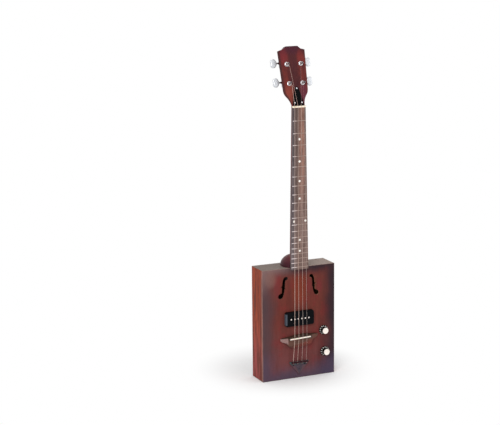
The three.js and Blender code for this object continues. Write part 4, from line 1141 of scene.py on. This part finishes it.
class GUITAR_OT_box(PieceOperator, bpy.types.Operator):
    """Makes the boards of the box, with rounded edges, eased f holes and countersunk screws in the back; the
    pale edges are partly a painted highlight
    """

    bl_idname = "guitar.box"
    bl_label = "Box"

    def execute(self, context):
        sizes = context.scene.guitar_sizes

        def outer(point):
            return abs(abs(point.x) - HALF_WIDTH) < SAME or point.z < SAME or point.z > BODY_TOP - SAME

        def at_face(face_y):
            return lambda edge: (
                all(outer(end) for end in ends(edge)) and (lies_at(edge, face_y) or self.is_corner(edge))
            )

        def f_hole(edge):
            return lies_at(edge, FRONT_Y) and all(
                32 < abs(end.x) < 63 and 225 < end.z < 292 for end in ends(edge)
            )

        front = skin_of("front_panel")
        soften(front, sizes.box_edge, 3, at_face(FRONT_Y))
        soften(front, sizes.hole_edge, 2, f_hole)
        settle(front, "front_board", box_stain(), solids=["front_panel"])
        for name in ("side_bass", "side_treble"):
            board = skin_of(name)
            soften(board, sizes.box_edge, 3, self.is_corner)
            self.ease(board)
            settle(board, name.replace("side", "side_board"), box_stain(), solids=[name])
        for name in ("side_neck_end", "side_tail_end"):
            board = skin_of(name)
            self.ease(board)
            settle(board, name.replace("side_", "end_board_"), box_stain(), solids=[name])
        back = skin_of("back_panel")
        soften(back, sizes.box_edge, 3, at_face(BACK_Y))
        places = [(side * 104.5, z) for side in (-1, 1) for z in (20, 156.5, 293)]
        places += [(side * 35, z) for side in (-1, 1) for z in (4.5, 308.5)]
        sink = [(1.5, BACK_Y - 2.6), (1.5, BACK_Y - 2.0), (3.5, BACK_Y - 0.1), (3.5, BACK_Y + 1)]
        combine(back, joined([turned(sink, 24, "Y", (x, 0, z)) for x, z in places]))
        settle(back, "back_board", box_stain(), solids=["back_panel"])
        head = turned([(1.3, -2.3), (1.3, -2.0), (3.2, -0.15), (3.0, -0.02)], 24, "Z")
        heads = repeated(crossed(head, 0.42, 1.9, -1.3, 1), [
            facing(x, BACK_Y, z, (0, 1, 0), 0.4 * index) for index, (x, z) in enumerate(places)
        ])
        settle(heads, "back_screws", steel(), weighted=False)
        return {"FINISHED"}

    @staticmethod
    def is_corner(edge):
        """Whether an edge is one of the box's four corners, which run from the front to the back."""
        return runs_back(edge) and all(
            abs(abs(end.x) - HALF_WIDTH) < SAME and (end.z < SAME or end.z > BODY_TOP - SAME)
            for end in ends(edge)
        )

    @staticmethod
    def ease(board):
        """Eases a board's long joint lines a little, so that they show."""
        soften(board, 0.15 * MM, 1, lambda edge: edge.calc_length() > 40 * MM)


class GUITAR_OT_inside(PieceOperator, bpy.types.Operator):
    """Gives the solids inside the box and under the fretboard their finishes"""

    bl_idname = "guitar.inside"
    bl_label = "Inside"

    def execute(self, context):
        blocks = [f"corner_block_{end}_{side}" for end in ("neck", "tail") for side in ("bass", "treble")]
        for material, names in (
            (raw_wood, [*blocks, "neck_block", "tail_block", "bridge_brace", "pickup_block"]),
            (steel, [
                "truss_rod", "neck_bolt_1", "neck_bolt_2", "volume_pot", "tone_pot", "volume_shaft",
                "tone_shaft",
            ]),
            (brass, ["truss_rod_nut"]),
            (cable_jacket, ["lead_pickup", "lead_jack"]),
            (ceramic, ["tone_capacitor"]),
        ):
            for name in names:
                for slot in NODES[name].material_slots:
                    slot.material = material()
        return {"FINISHED"}


class GUITAR_OT_neck(PieceOperator, bpy.types.Operator):
    """Makes the neck: its rounded shaft, the heel on the box and the head with its eased edges"""

    bl_idname = "guitar.neck"
    bl_label = "Neck and head"

    def execute(self, context):
        sizes = context.scene.guitar_sizes
        neck = joined([self.shaft(), self.volute(), self.heel(), self.head(sizes.head_edge)])
        settle(neck, "neck_and_head", neck_stain(), solids=["neck"])
        return {"FINISHED"}

    @staticmethod
    def loft(rings):
        """A form through rings of (height, half width, depth, setback), each a part of an ellipse."""
        deselect()
        bpy.ops.mesh.primitive_circle_add(vertices=96, radius=1, fill_type="NGON")
        piece = bpy.context.object
        (z, half, depth, shift), *rest = rings
        with editing(piece):
            middle = Vector((0, FACE_Y + shift + NECK_WALL * depth, z)) * MM
            size = (half * MM, (1 - NECK_WALL) * depth * MM, 1)
            bpy.ops.transform.resize(value=size, center_override=(0, 0, 0))
            bpy.ops.transform.translate(value=middle)
            for next_z, next_half, next_depth, next_shift in rest:
                next_middle = Vector((0, FACE_Y + next_shift + NECK_WALL * next_depth, next_z)) * MM
                bpy.ops.mesh.extrude_region_move(TRANSFORM_OT_translate={"value": next_middle - middle})
                bpy.ops.transform.resize(
                    value=(next_half / half, next_depth / depth, 1), center_override=next_middle
                )
                half, depth, middle = next_half, next_depth, next_middle
            outwards()
        return piece

    def shaft(self):
        """A half round shaft with short straight walls, which narrows to the nut, and the rod's channel."""
        wall = NECK_WALL * NECK_DEPTH
        piece = self.loft([
            (BODY_TOP, 51.56 / 2, 17, 0.0), (420, 48.1 / 2, 16.5, 0.0), (580, 42.97 / 2, 15.8, 0.0),
            (NUT_Z, NUT_HALF, NECK_DEPTH, 0.0), (HEAD_Z, NUT_HALF, NECK_DEPTH, 0.0),
        ])
        with editing(piece):
            bpy.ops.mesh.bisect(
                plane_co=Vector((0, FACE_Y + wall, NUT_Z)) * MM,
                plane_no=(0, 1, 0.32 / (NUT_Z - BODY_TOP)), use_fill=True, clear_inner=True,
            )
            bpy.ops.mesh.extrude_region_move(TRANSFORM_OT_translate={"value": (0, -wall * MM, 0)})
            bpy.ops.transform.resize(value=(1, 0, 1), center_override=(0, FACE_Y * MM, 0))
            outwards()
        return combine(piece, block((-2.8, FACE_Y - 1, BODY_TOP + 21.7), (2.8, ROD_Y + 2.8, HEAD_Z + 2)))

    def volute(self):
        """The shaft's back runs on behind the head's face and fades into the head, round the rod's pocket."""
        piece = self.loft([
            (HEAD_Z, NUT_HALF, NECK_DEPTH, 0.0), (HEAD_Z + 5, NUT_HALF - 0.4, 14.6, 1.4),
            (HEAD_Z + 12, NUT_HALF - 1.6, 13.4, 3.3), (HEAD_Z + 20, NUT_HALF - 4, 11.0, 5.3),
            (HEAD_Z + 27, NUT_HALF - 8, 6.4, 7.6),
        ])
        halve(piece, HEAD @ Vector((0, MM, 0)) / MM, HEAD_BACK)
        low, high = HEAD_Z - 2, HEAD_Z + 38
        combine(piece, turned([(ROD_POCKET, low), (ROD_POCKET, high)], 32, "Z", (0, ROD_Y, 0)))
        return combine(piece, block((-ROD_POCKET, FACE_Y - 2, low), (ROD_POCKET, ROD_Y, high)))

    @staticmethod
    def heel():
        heel = ball((37.8, 40, 31.2), (0, FRONT_Y + 28.5, BODY_TOP), 96, 64)
        halve(heel, (0, 0, BODY_TOP), (0, 0, 1))
        halve(heel, (0, FRONT_Y, 0), (0, 1, 0))
        return soften(heel, 1.6 * MM, 3, lambda edge: lies_at(edge, FRONT_Y) and all(
            end.z > BODY_TOP + 0.5 for end in ends(edge)
        ))

    @staticmethod
    def head(edge_radius):
        """The solid's own head, its lower back edge sloped into the neck and its outline rounded."""
        head = skin_of("neck")
        halve(head, (0, 0, HEAD_Z), (0, 0, 1))
        low, high = HEAD @ (Vector((0, 1.5, -2)) * MM), HEAD @ (Vector((0, 14, 27)) * MM)
        along = (high - low).normalized()
        halve(head, low / MM, along.cross(Vector((1, 0, 0))) * -1)
        local = HEAD.inverted()

        def on_outline(edge):
            for vertex in edge.verts:
                end = (local @ vertex.co) / MM
                at_post = any(math.hypot(end.x - x, end.z - z) < 5.6 for _, x, z in TUNERS.values())
                at_face = abs(end.y) < SAME or abs(end.y - HEAD_THICKNESS) < SAME
                at_pocket = abs(end.x) < 9 and end.z < 60
                if at_post or not at_face or at_pocket or end.z < 1.5:
                    return False
            return True

        return soften(head, edge_radius, 4, on_outline)


class GUITAR_OT_fingerboard(PieceOperator, bpy.types.Operator):
    """Makes the fretboard with its crowned frets and position dots, and the nut"""

    bl_idname = "guitar.fingerboard"
    bl_label = "Fretboard and nut"

    def execute(self, context):
        sizes = context.scene.guitar_sizes
        board_low, board_half = BOARD_LOW.z, -BOARD_LOW.x

        def half_at(z):
            return board_half + (NUT_HALF - board_half) * (z - board_low) / (NUT_Z - board_low)

        def fret_z(fret):
            return SADDLE_Z + SCALE_LENGTH * 2 ** (-fret / 12)

        board = block((-board_half, BOARD_Y, board_low), (board_half, FACE_Y, NUT_Z))
        with editing(board):
            pick("VERT", lambda vertex: vertex.co.z > (NUT_Z - 1) * MM)
            bpy.ops.transform.resize(value=(NUT_HALF / board_half, 1, 1), center_override=(0, 0, 0))
        soften(board, 0.5 * MM, 3, lambda edge: lies_at(edge, BOARD_Y) and (
            edge.calc_length() > 100 * MM or all(end.z < board_low + 1 for end in ends(edge))
        ))
        settle(board, "fingerboard", board_rosewood(), solids=["fretboard"])
        radius = sizes.fret_width / 2 / MM
        end = radius * 0.5
        crown = halve(
            turned([(end, -0.5), (radius, -0.485), (radius, 0.485), (end, 0.5)], 32, "X"),
            (0, 0, 0), (0, -1, 0),
        )
        rise = sizes.fret_rise / (sizes.fret_width / 2)
        frets = repeated(crown, [
            moved_to(0, BOARD_Y, z) @ Matrix.Diagonal((2 * half_at(z) - 1, rise, 1, 1))
            for z in map(fret_z, range(1, FRETS + 1))
        ])
        settle(frets, "fret_crowns", fret_wire(), solids=["fretboard"])
        radius = sizes.dot_width / 2 / MM
        places = [(0, fret) for fret in DOT_FRETS] + [(-17, DOUBLE_DOT_FRET), (17, DOUBLE_DOT_FRET)]
        dots = repeated(turned([(radius, 0.5), (radius, -0.03)], 32), [
            moved_to(x, BOARD_Y, (fret_z(fret) + fret_z(fret - 1)) / 2) for x, fret in places
        ])
        settle(dots, "position_dots", pearl())
        nut = skin_of("nut")
        soften(nut, 0.45 * MM, 2, lambda edge: edge.calc_length() > 3 * MM and all(
            end.y < BOARD_Y + 0.5 for end in ends(edge)
        ))
        settle(nut, "bone_nut", bone(), solids=["nut"])
        return {"FINISHED"}


class GUITAR_OT_bell_cover(PieceOperator, bpy.types.Operator):
    """Makes the bell shaped cover over the truss rod's nut, with its three screws"""

    bl_idname = "guitar.bell_cover"
    bl_label = "Bell cover"

    def execute(self, context):
        local, face = HEAD.inverted(), -2.3
        cover = skin_of("truss_rod_cover")
        soften(cover, 0.5 * MM, 3, lambda edge: all(
            abs((local @ vertex.co).y / MM - face) < SAME for vertex in edge.verts
        ))
        settle(cover, "bell_cover", black_plastic(), solids=["truss_rod_cover"])
        places = [(0, 46.43, 0.3), (-10.37, 8.24, 0.9), (10.37, 8.24, 1.3)]
        screws = screws_at(2.3, 1.0, [HEAD @ facing(x, face, z, (0, -1, 0), spin) for x, z, spin in places])
        settle(screws, "bell_cover_screws", chrome(), weighted=False)
        return {"FINISHED"}


class GUITAR_OT_tuners(PieceOperator, bpy.types.Operator):
    """Makes the four tuning machines: gear cases, ferrules, winding posts and keys"""

    bl_idname = "guitar.tuners"
    bl_label = "Tuners"

    def execute(self, context):
        parts = case, ferrule, post, key, screw = (
            self.case(), self.ferrule(), self.post(), self.key(), self.end_screw()
        )
        foot_screws = []
        for name, (side, x, z) in TUNERS.items():
            spot = HEAD @ moved_to(x, 0, z)
            mirrored = spot @ Matrix.Diagonal((side, 1, 1, 1))
            settle(
                copied(case, mirrored), f"gear_case_{name}", chrome(),
                solids=[f"tuner_housing_{name}"],
            )
            settle(
                copied(ferrule, spot), f"ferrule_{name}", chrome(), solids=[f"tuner_bushing_{name}"]
            )
            gear = halve(skin_of(f"tuner_post_{name}"), spot @ Vector((0, 17.2 * MM, 0)) / MM, HEAD_BACK)
            settle(
                joined([copied(post, spot), gear]), f"winding_post_{name}", post_metal(),
                f"post_{name}", [f"tuner_post_{name}"],
            )
            settle(
                joined([copied(key, mirrored), copied(screw, mirrored)]), f"tuning_key_{name}",
                button_metal(), f"key_{name}", [f"tuner_key_{name}"],
            )
            foot_screws.append(spot @ facing(0, 15.9, -9.3, (0, 1, 0), z))
        removed(*parts)
        settle(screws_at(2.1, 0.9, foot_screws), "tuner_screws", chrome(), weighted=False)
        return {"FINISHED"}

    @staticmethod
    def case():
        base = 14.3
        case = block((-6.5, base, -6.3), (12.8, 24.3, 9.9))
        soften(case, 1.6 * MM, 4, lambda edge: not lies_at(edge, base))
        foot = block((-4, base, -12.3), (4, 15.9, -5))
        soften(foot, 1.5 * MM, 4, lambda edge: runs_back(edge) and ends(edge)[0].z < -10)
        combine(case, foot, "UNION")
        combine(case, block((-5.3, 12, -5.1), (11.6, 23.1, 8.7)))
        combine(case, turned([(2.3, 10), (2.3, 15)], 24, "X", (0, WORM_Y, WORM_Z)))
        return case

    @staticmethod
    def ferrule():
        ferrule = turned([(5.5, -1.1), (5.9, -0.95), (6, -0.6), (6, -0.3)], 64)
        nut = turned([(4.8, -3.3), (5.6, -2.9), (5.6, -1.0)], 6)
        combine(ferrule, nut, "UNION")
        combine(ferrule, turned([(4.3, -0.8), (4.3, 9)], 32), "UNION")
        combine(ferrule, turned([(3.3, -6), (3.3, 12)], 32))
        return soften(ferrule, 0.25 * MM, 2, lambda edge: lies_at(edge, -3.3))

    @staticmethod
    def post():
        """A post with a dished top, a waist for the turns and a hole for the string."""
        post = turned([
            (1.7, -10.6), (1.8, -12.5), (2.2, -13), (2.8, -13), (3.2, -12.5), (3.2, -10.5), (2.95, -10.1),
            (2.6, -9.8), (2.6, -4.8), (2.75, -4.4), (3, -4.1), (3, 17.5),
        ], 40)
        return combine(post, turned([(0.8, -5), (0.8, 5)], 16, "X", (0, -5.3, 0)))

    @staticmethod
    def key():
        """A worm on a shaft with a collar, and a kidney shaped button on its end."""
        shaft = turned([
            *(((1.5, 2.1)[step % 2], 1.25 * step - 5) for step in range(8)),
            (1.5, 4.9), (2, 5), (2, 13.1), (2.6, 13.15), (3, 13.5), (3, 14.7), (2.6, 15.05), (2, 15.1),
            (2, 18.6), (2.5, 19.6), (3.2, 20.6), (3.2, 25),
        ], 32, "X", (0, WORM_Y, WORM_Z))
        shares = [(0, 0.2), (0.1, 0.5), (0.3, 0.88), (0.58, 1), (0.86, 0.84), (1, 0.45), (0.95, 0)]
        half = [(20.4 + along * 17.6, share * 12.4) for along, share in shares]
        button = outlined(half + [(x, -y) for x, y in reversed(half[:-1])], 6.5, 2.2)
        place(button, moved_to(0, WORM_Y, WORM_Z) @ Matrix.Rotation(math.pi / 2, 4, "X"))
        return joined([button, shaft])

    @staticmethod
    def end_screw():
        return screws_at(1.7, 0.8, [facing(37.0, WORM_Y, WORM_Z, (1, 0, 0), 0.5)])


class GUITAR_OT_strings(PieceOperator, bpy.types.Operator):
    """Runs the four strings from their ball ends over saddle and nut to their turns round the posts"""

    bl_idname = "guitar.strings"
    bl_label = "Strings"

    def execute(self, context):
        balls = []
        for index, (name, diameter) in enumerate(zip(TUNERS, STRING_SIZES)):
            points = self.route(index, name, diameter / 2)
            kind, material = ("wound", wound_bronze) if index < WOUND_STRINGS else ("plain", string_steel)
            settle(
                cable(points, diameter / 2), f"{kind}_string_{index + 1}", material(),
                solids=[f"string_{index + 1}"], smooth=60, weighted=False,
            )
            half = [(1.5, 0.5), (1.9, 1.3), (1.5, 1.7), (1.0, 1.7)]
            balls.append(turned([(radius, -at) for radius, at in reversed(half)] + half, 24, "X", points[0]))
        settle(joined(balls), "ball_ends", dull_nickel())
        return {"FINISHED"}

    @staticmethod
    def route(index, name, radius):
        """The points of a string's middle line, which ends in a little over two turns round its post."""
        side, post_x, post_z = TUNERS[name]
        tail_x, saddle_x, nut_x = ((index - 1.5) * gap for gap in (TAIL_GAP, SADDLE_GAP, NUT_GAP))
        nut_y = BOARD_Y - 1.9
        points = [
            Vector((tail_x, FRONT_Y - 5, 41.8)), Vector((tail_x, FRONT_Y - 5, 47)),
            Vector((saddle_x, FRONT_Y - 12.8 - radius, SADDLE_Z + saddle_x * SADDLE_SLOPE)),
            Vector((nut_x, nut_y, NUT_Z)), Vector((nut_x, nut_y, HEAD_Z)),
        ]
        leave = HEAD.inverted() @ (points[-1] * MM) / MM
        wind = 2.9 + radius
        away = math.hypot(post_x - leave.x, post_z - leave.z)
        first = math.atan2(post_z - leave.z, post_x - leave.x) + side * (math.pi / 2 + math.asin(wind / away))
        steps_round = 24
        for step in range(55):
            angle = first - side * step / steps_round * 2 * math.pi
            local = Vector((
                post_x + wind * math.cos(angle), radius - 9.7 + (2 * radius + 0.5) * step / steps_round,
                post_z + wind * math.sin(angle),
            ))
            points.append(HEAD @ (local * MM) / MM)
        return points


class GUITAR_OT_pickup(PieceOperator, bpy.types.Operator):
    """Makes the pickup: a rounded cover, the coil in it, six slotted poles and two screws"""

    bl_idname = "guitar.pickup"
    bl_label = "Pickup"

    def execute(self, context):
        sizes = context.scene.guitar_sizes
        front, back = FRONT_Y - 8.5, FRONT_Y + 8.5
        half_x, half_z = 85.7 / 2, 40.3 / 2
        pole_gap = 10.6
        poles_x = [(pole - 2.5) * pole_gap for pole in range(6)]
        screws_x = (-pole_gap, pole_gap)

        def slab(inset, low_y, high_y, corner):
            made = block(
                (inset - half_x, low_y, PICKUP_Z - half_z + inset),
                (half_x - inset, high_y, PICKUP_Z + half_z - inset),
            )
            return soften(made, corner * MM, 10, runs_back)

        def pins(profile, sides, places):
            return [turned(profile, sides, "Y", (x, 0, PICKUP_Z)) for x in places]

        cover = slab(0, front, back, 6)
        soften(cover, sizes.cover_edge, 4, lambda edge: lies_at(edge, front))
        combine(cover, slab(1.6, front + 1.6, back + 2, 4.4))
        combine(cover, joined(
            pins([(2.35, front - 2), (2.35, front + 3)], 32, poles_x)
            + pins([(1.7, front - 2), (1.7, front + 3)], 24, screws_x)
        ))
        settle(cover, "soapbar_cover", cover_plastic(), solids=["pickup_cover"])
        coil = slab(1.9, front + 1.9, back, 4.1)
        combine(coil, joined(pins([(1.7, front), (1.7, back + 2)], 24, screws_x)))
        settle(coil, "pickup_windings", coil_tape(), solids=["pickup_coil"])
        pole = turned([(1.6, -0.6), (1.95, -0.5), (2.1, -0.25), (2.1, 3)], 32)
        combine(pole, block((-3, -1, -0.32), (3, -0.15, 0.32)))
        poles = repeated(pole, [
            moved_to(x, front, PICKUP_Z) @ Matrix.Rotation(0.6 * index, 4, "Y")
            for index, x in enumerate(poles_x)
        ])
        settle(poles, "pickup_poles", pole_nickel(), solids=["pickup_coil"])
        heads = screws_at(2.5, 1.2, [facing(x, front - 0.3, PICKUP_Z, (0, -1, 0), x) for x in screws_x])
        shanks = pins([(1.4, front - 0.5), (1.4, front + 18.2), (0.4, front + 19.7)], 16, screws_x)
        settle(
            joined([heads, *shanks]), "pickup_screws", blackened_steel(),
            solids=["pickup_screw_bass", "pickup_screw_treble"], weighted=False,
        )
        return {"FINISHED"}


class GUITAR_OT_bridge(PieceOperator, bpy.types.Operator):
    """Makes the bridge with its rounded edges and the notched saddle"""

    bl_idname = "guitar.bridge"
    bl_label = "Bridge and saddle"

    def execute(self, context):
        sizes = context.scene.guitar_sizes
        bridge = skin_of("bridge")
        soften(bridge, sizes.bridge_edge, 4, lambda edge: (
            all(end.y <= FRONT_Y - 0.5 for end in ends(edge))
            and not all(self.in_slot(end) for end in ends(edge))
        ), 12)
        settle(bridge, "carved_bridge", bridge_rosewood(), solids=["bridge"])
        saddle = skin_of("saddle")
        soften(saddle, 0.9 * MM, 4, lambda edge: all(end.y < FRONT_Y - 12 for end in ends(edge)))
        notches = []
        for index, diameter in enumerate(STRING_SIZES):
            x, radius = (index - 1.5) * SADDLE_GAP, diameter / 2 + 0.1
            centre = (x, FRONT_Y - 12.7 - diameter / 2, SADDLE_Z + x * SADDLE_SLOPE)
            notches.append(turned([(radius, -4), (radius, 4)], 12, "Z", centre))
        combine(saddle, joined(notches))
        settle(saddle, "bone_saddle", bone(), solids=["saddle"])
        return {"FINISHED"}

    @staticmethod
    def in_slot(end):
        return abs(end.x) < 32 and abs(end.z - SADDLE_Z - end.x * SADDLE_SLOPE) < 2.2


class GUITAR_OT_tailpiece(PieceOperator, bpy.types.Operator):
    """Makes the string anchor with its raised bar and its screws"""

    bl_idname = "guitar.tailpiece"
    bl_label = "Tailpiece"

    def execute(self, context):
        anchor = skin_of("tailpiece")
        soften(anchor, 0.55 * MM, 3, lambda edge: (
            all(end.y <= FRONT_Y - 0.3 for end in ends(edge)) and edge.calc_length() > 1.4 * MM
        ))
        settle(anchor, "string_anchor", anchor_metal(), solids=["tailpiece"])
        bright = screws_at(2.9, 1.3, [facing(0, FRONT_Y - 2, 27.5, (0, -1, 0), 0.6)])
        settle(bright, "anchor_middle_screw", anchor_metal(), weighted=False)
        dark = screws_at(2.5, 1.1, [facing(x, FRONT_Y - 2, 38, (0, -1, 0), x) for x in (-17, 17)])
        settle(dark, "anchor_side_screws", blackened_steel(), weighted=False)
        return {"FINISHED"}


class GUITAR_OT_knobs(PieceOperator, bpy.types.Operator):
    """Makes the volume and tone knobs: a fluted body on a numbered skirt, with a dished ivory cap"""

    bl_idname = "guitar.knobs"
    bl_label = "Knobs"

    def execute(self, context):
        sizes = context.scene.guitar_sizes
        body, cap = self.body(), self.cap()
        numbers = self.numbers(sizes.number_height)
        for name, (x, z) in CONTROLS.items():
            for piece, part, material, solids, weighted in (
                (body, "body", knob_plastic, [f"{name}_knob"], True), (cap, "cap", cap_plastic, [], True),
                (numbers, "numbers", number_paint, [], False),
            ):
                settle(
                    copied(piece, moved_to(x, 0, z)), f"{name}_knob_{part}", material(),
                    f"{name}_control", solids, weighted=weighted,
                )
        removed(body, cap, numbers)
        return {"FINISHED"}

    @staticmethod
    def body():
        body = turned([
            (8.3, FRONT_Y - 14.6), (8.6, FRONT_Y - 14.2), (8.9, FRONT_Y - 5.4), (9.0, FRONT_Y - 4.9),
            (12.6, FRONT_Y - 3.0), (12.95, FRONT_Y - 2.6), (13, FRONT_Y - 1.1), (12.8, FRONT_Y - 0.8),
        ], 96)
        flute = ball((0.75, 5.4, 0.75), (9.15, FRONT_Y - 10.6, 0), 12, 10)
        combine(body, repeated(flute, [
            Matrix.Rotation(2 * math.pi * turn / FLUTES, 4, "Y") for turn in range(FLUTES)
        ]))
        combine(body, turned([(8.2, FRONT_Y + 1), (8.2, FRONT_Y - 4.4), (7.6, FRONT_Y - 6.4)], 32))
        combine(body, turned([(3.3, FRONT_Y - 2), (3.3, FRONT_Y - 13)], 24))
        return body

    @staticmethod
    def cap():
        return turned([
            (3.0, FRONT_Y - 15.1), (5.6, FRONT_Y - 15.25), (7.0, FRONT_Y - 15.75), (7.7, FRONT_Y - 16),
            (8.3, FRONT_Y - 15.75), (8.55, FRONT_Y - 15.2), (8.5, FRONT_Y - 14.75), (8.2, FRONT_Y - 14.6),
        ], 64)

    @staticmethod
    def numbers(height):
        """0 to 10 round the skirt's slope, every 30 degrees."""
        made = []
        upright = Matrix.Rotation(math.pi / 2 - math.atan2(1.9, 3.6), 4, "X")
        at_skirt = moved_to(0, FRONT_Y - 4.02, 10.85) @ upright @ Matrix.Scale(MM, 4)
        for number in range(11):
            deselect()
            bpy.ops.object.text_add()
            text = bpy.context.object
            text.data.body = str(number)
            text.data.size = height / MM * 1.25
            text.data.extrude = 0.06
            text.data.offset = 0.128
            text.data.align_x = "CENTER"
            text.data.align_y = "CENTER"
            around = Matrix.Rotation(math.radians(30 * number - 150), 4, "Y")
            made.append(place(meshed(), around @ at_skirt))
        return joined(made)


class GUITAR_OT_jack(PieceOperator, bpy.types.Operator):
    """Makes the output jack: a square plate with four screws, a nut and a threaded mouth"""

    bl_idname = "guitar.jack"
    bl_label = "Output jack"

    def execute(self, context):
        plate = skin_of("jack_plate")
        soften(plate, 0.4 * MM, 2, lambda edge: all(end.x > HALF_WIDTH + 1.4 for end in ends(edge)))
        settle(plate, "jack_square_plate", chrome(), solids=["jack_plate"])
        screws = screws_at(2.2, 1.0, [
            facing(HALF_WIDTH + 1.5, y, JACK_Z + z, (1, 0, 0), y + z)
            for y in (-13.5, 13.5) for z in (-13.5, 13.5)
        ])
        settle(screws, "jack_plate_screws", chrome(), weighted=False)
        thread = []
        for turn in range(4):
            at = 111.3 + turn * 0.5
            thread += [(4.7, at), (4.45, at + 0.25)]
        centre = (0, 0, JACK_Z)
        barrel = turned(
            [(8, 85), (8, 109), (4.7, 109.01), *thread, (4.7, 113.25), (4.4, 113.5)], 48, "X", centre
        )
        nut = turned([(6.8, 110.5), (7.4, 110.75), (7.4, 112.4), (6.8, 112.7)], 6, "X", centre)
        lug = block((80, -1.2, JACK_Z - 0.4), (87, 1.2, JACK_Z + 0.4))
        combine(barrel, nut, "UNION")
        combine(barrel, lug, "UNION")
        combine(barrel, turned([(3.3, 87.5), (3.3, 113.1), (3.8, 114)], 40, "X", centre))
        settle(barrel, "jack_barrel", chrome(), solids=["jack_socket"])
        return {"FINISHED"}


class GUITAR_PT_guitar(bpy.types.Panel):
    """Lists the guitar's pieces, and the sizes and colours that can be changed"""

    bl_idname = "GUITAR_PT_guitar"
    bl_label = "Cigar box guitar"
    bl_space_type = "VIEW_3D"
    bl_region_type = "UI"
    bl_category = "Guitar"

    def draw(self, context):
        scene = context.scene
        for step in STEPS:
            self.layout.operator(step.bl_idname)
        for group in (scene.guitar_sizes, scene.guitar_colours, scene.guitar_stage):
            box = self.layout.box()
            for name in group.__annotations__:
                box.prop(group, name)


STEPS = (
    GUITAR_OT_stage, GUITAR_OT_box, GUITAR_OT_inside, GUITAR_OT_neck, GUITAR_OT_fingerboard,
    GUITAR_OT_bell_cover, GUITAR_OT_tuners, GUITAR_OT_strings, GUITAR_OT_pickup, GUITAR_OT_bridge,
    GUITAR_OT_tailpiece, GUITAR_OT_knobs, GUITAR_OT_jack,
)
GROUPS = {"guitar_colours": GuitarColours, "guitar_sizes": GuitarSizes, "guitar_stage": GuitarStage}


def register():
    for made in (*GROUPS.values(), *STEPS, GUITAR_PT_guitar):
        bpy.utils.register_class(made)
    for name, made in GROUPS.items():
        setattr(bpy.types.Scene, name, PointerProperty(type=made))


def unregister():
    for name in GROUPS:
        delattr(bpy.types.Scene, name)
    for made in (GUITAR_PT_guitar, *reversed(STEPS), *reversed(GROUPS.values())):
        bpy.utils.unregister_class(made)


def main():
    register()
    for step in STEPS:
        getattr(bpy.ops.guitar, step.bl_idname.removeprefix("guitar."))()


if __name__ == "__main__":
    main()
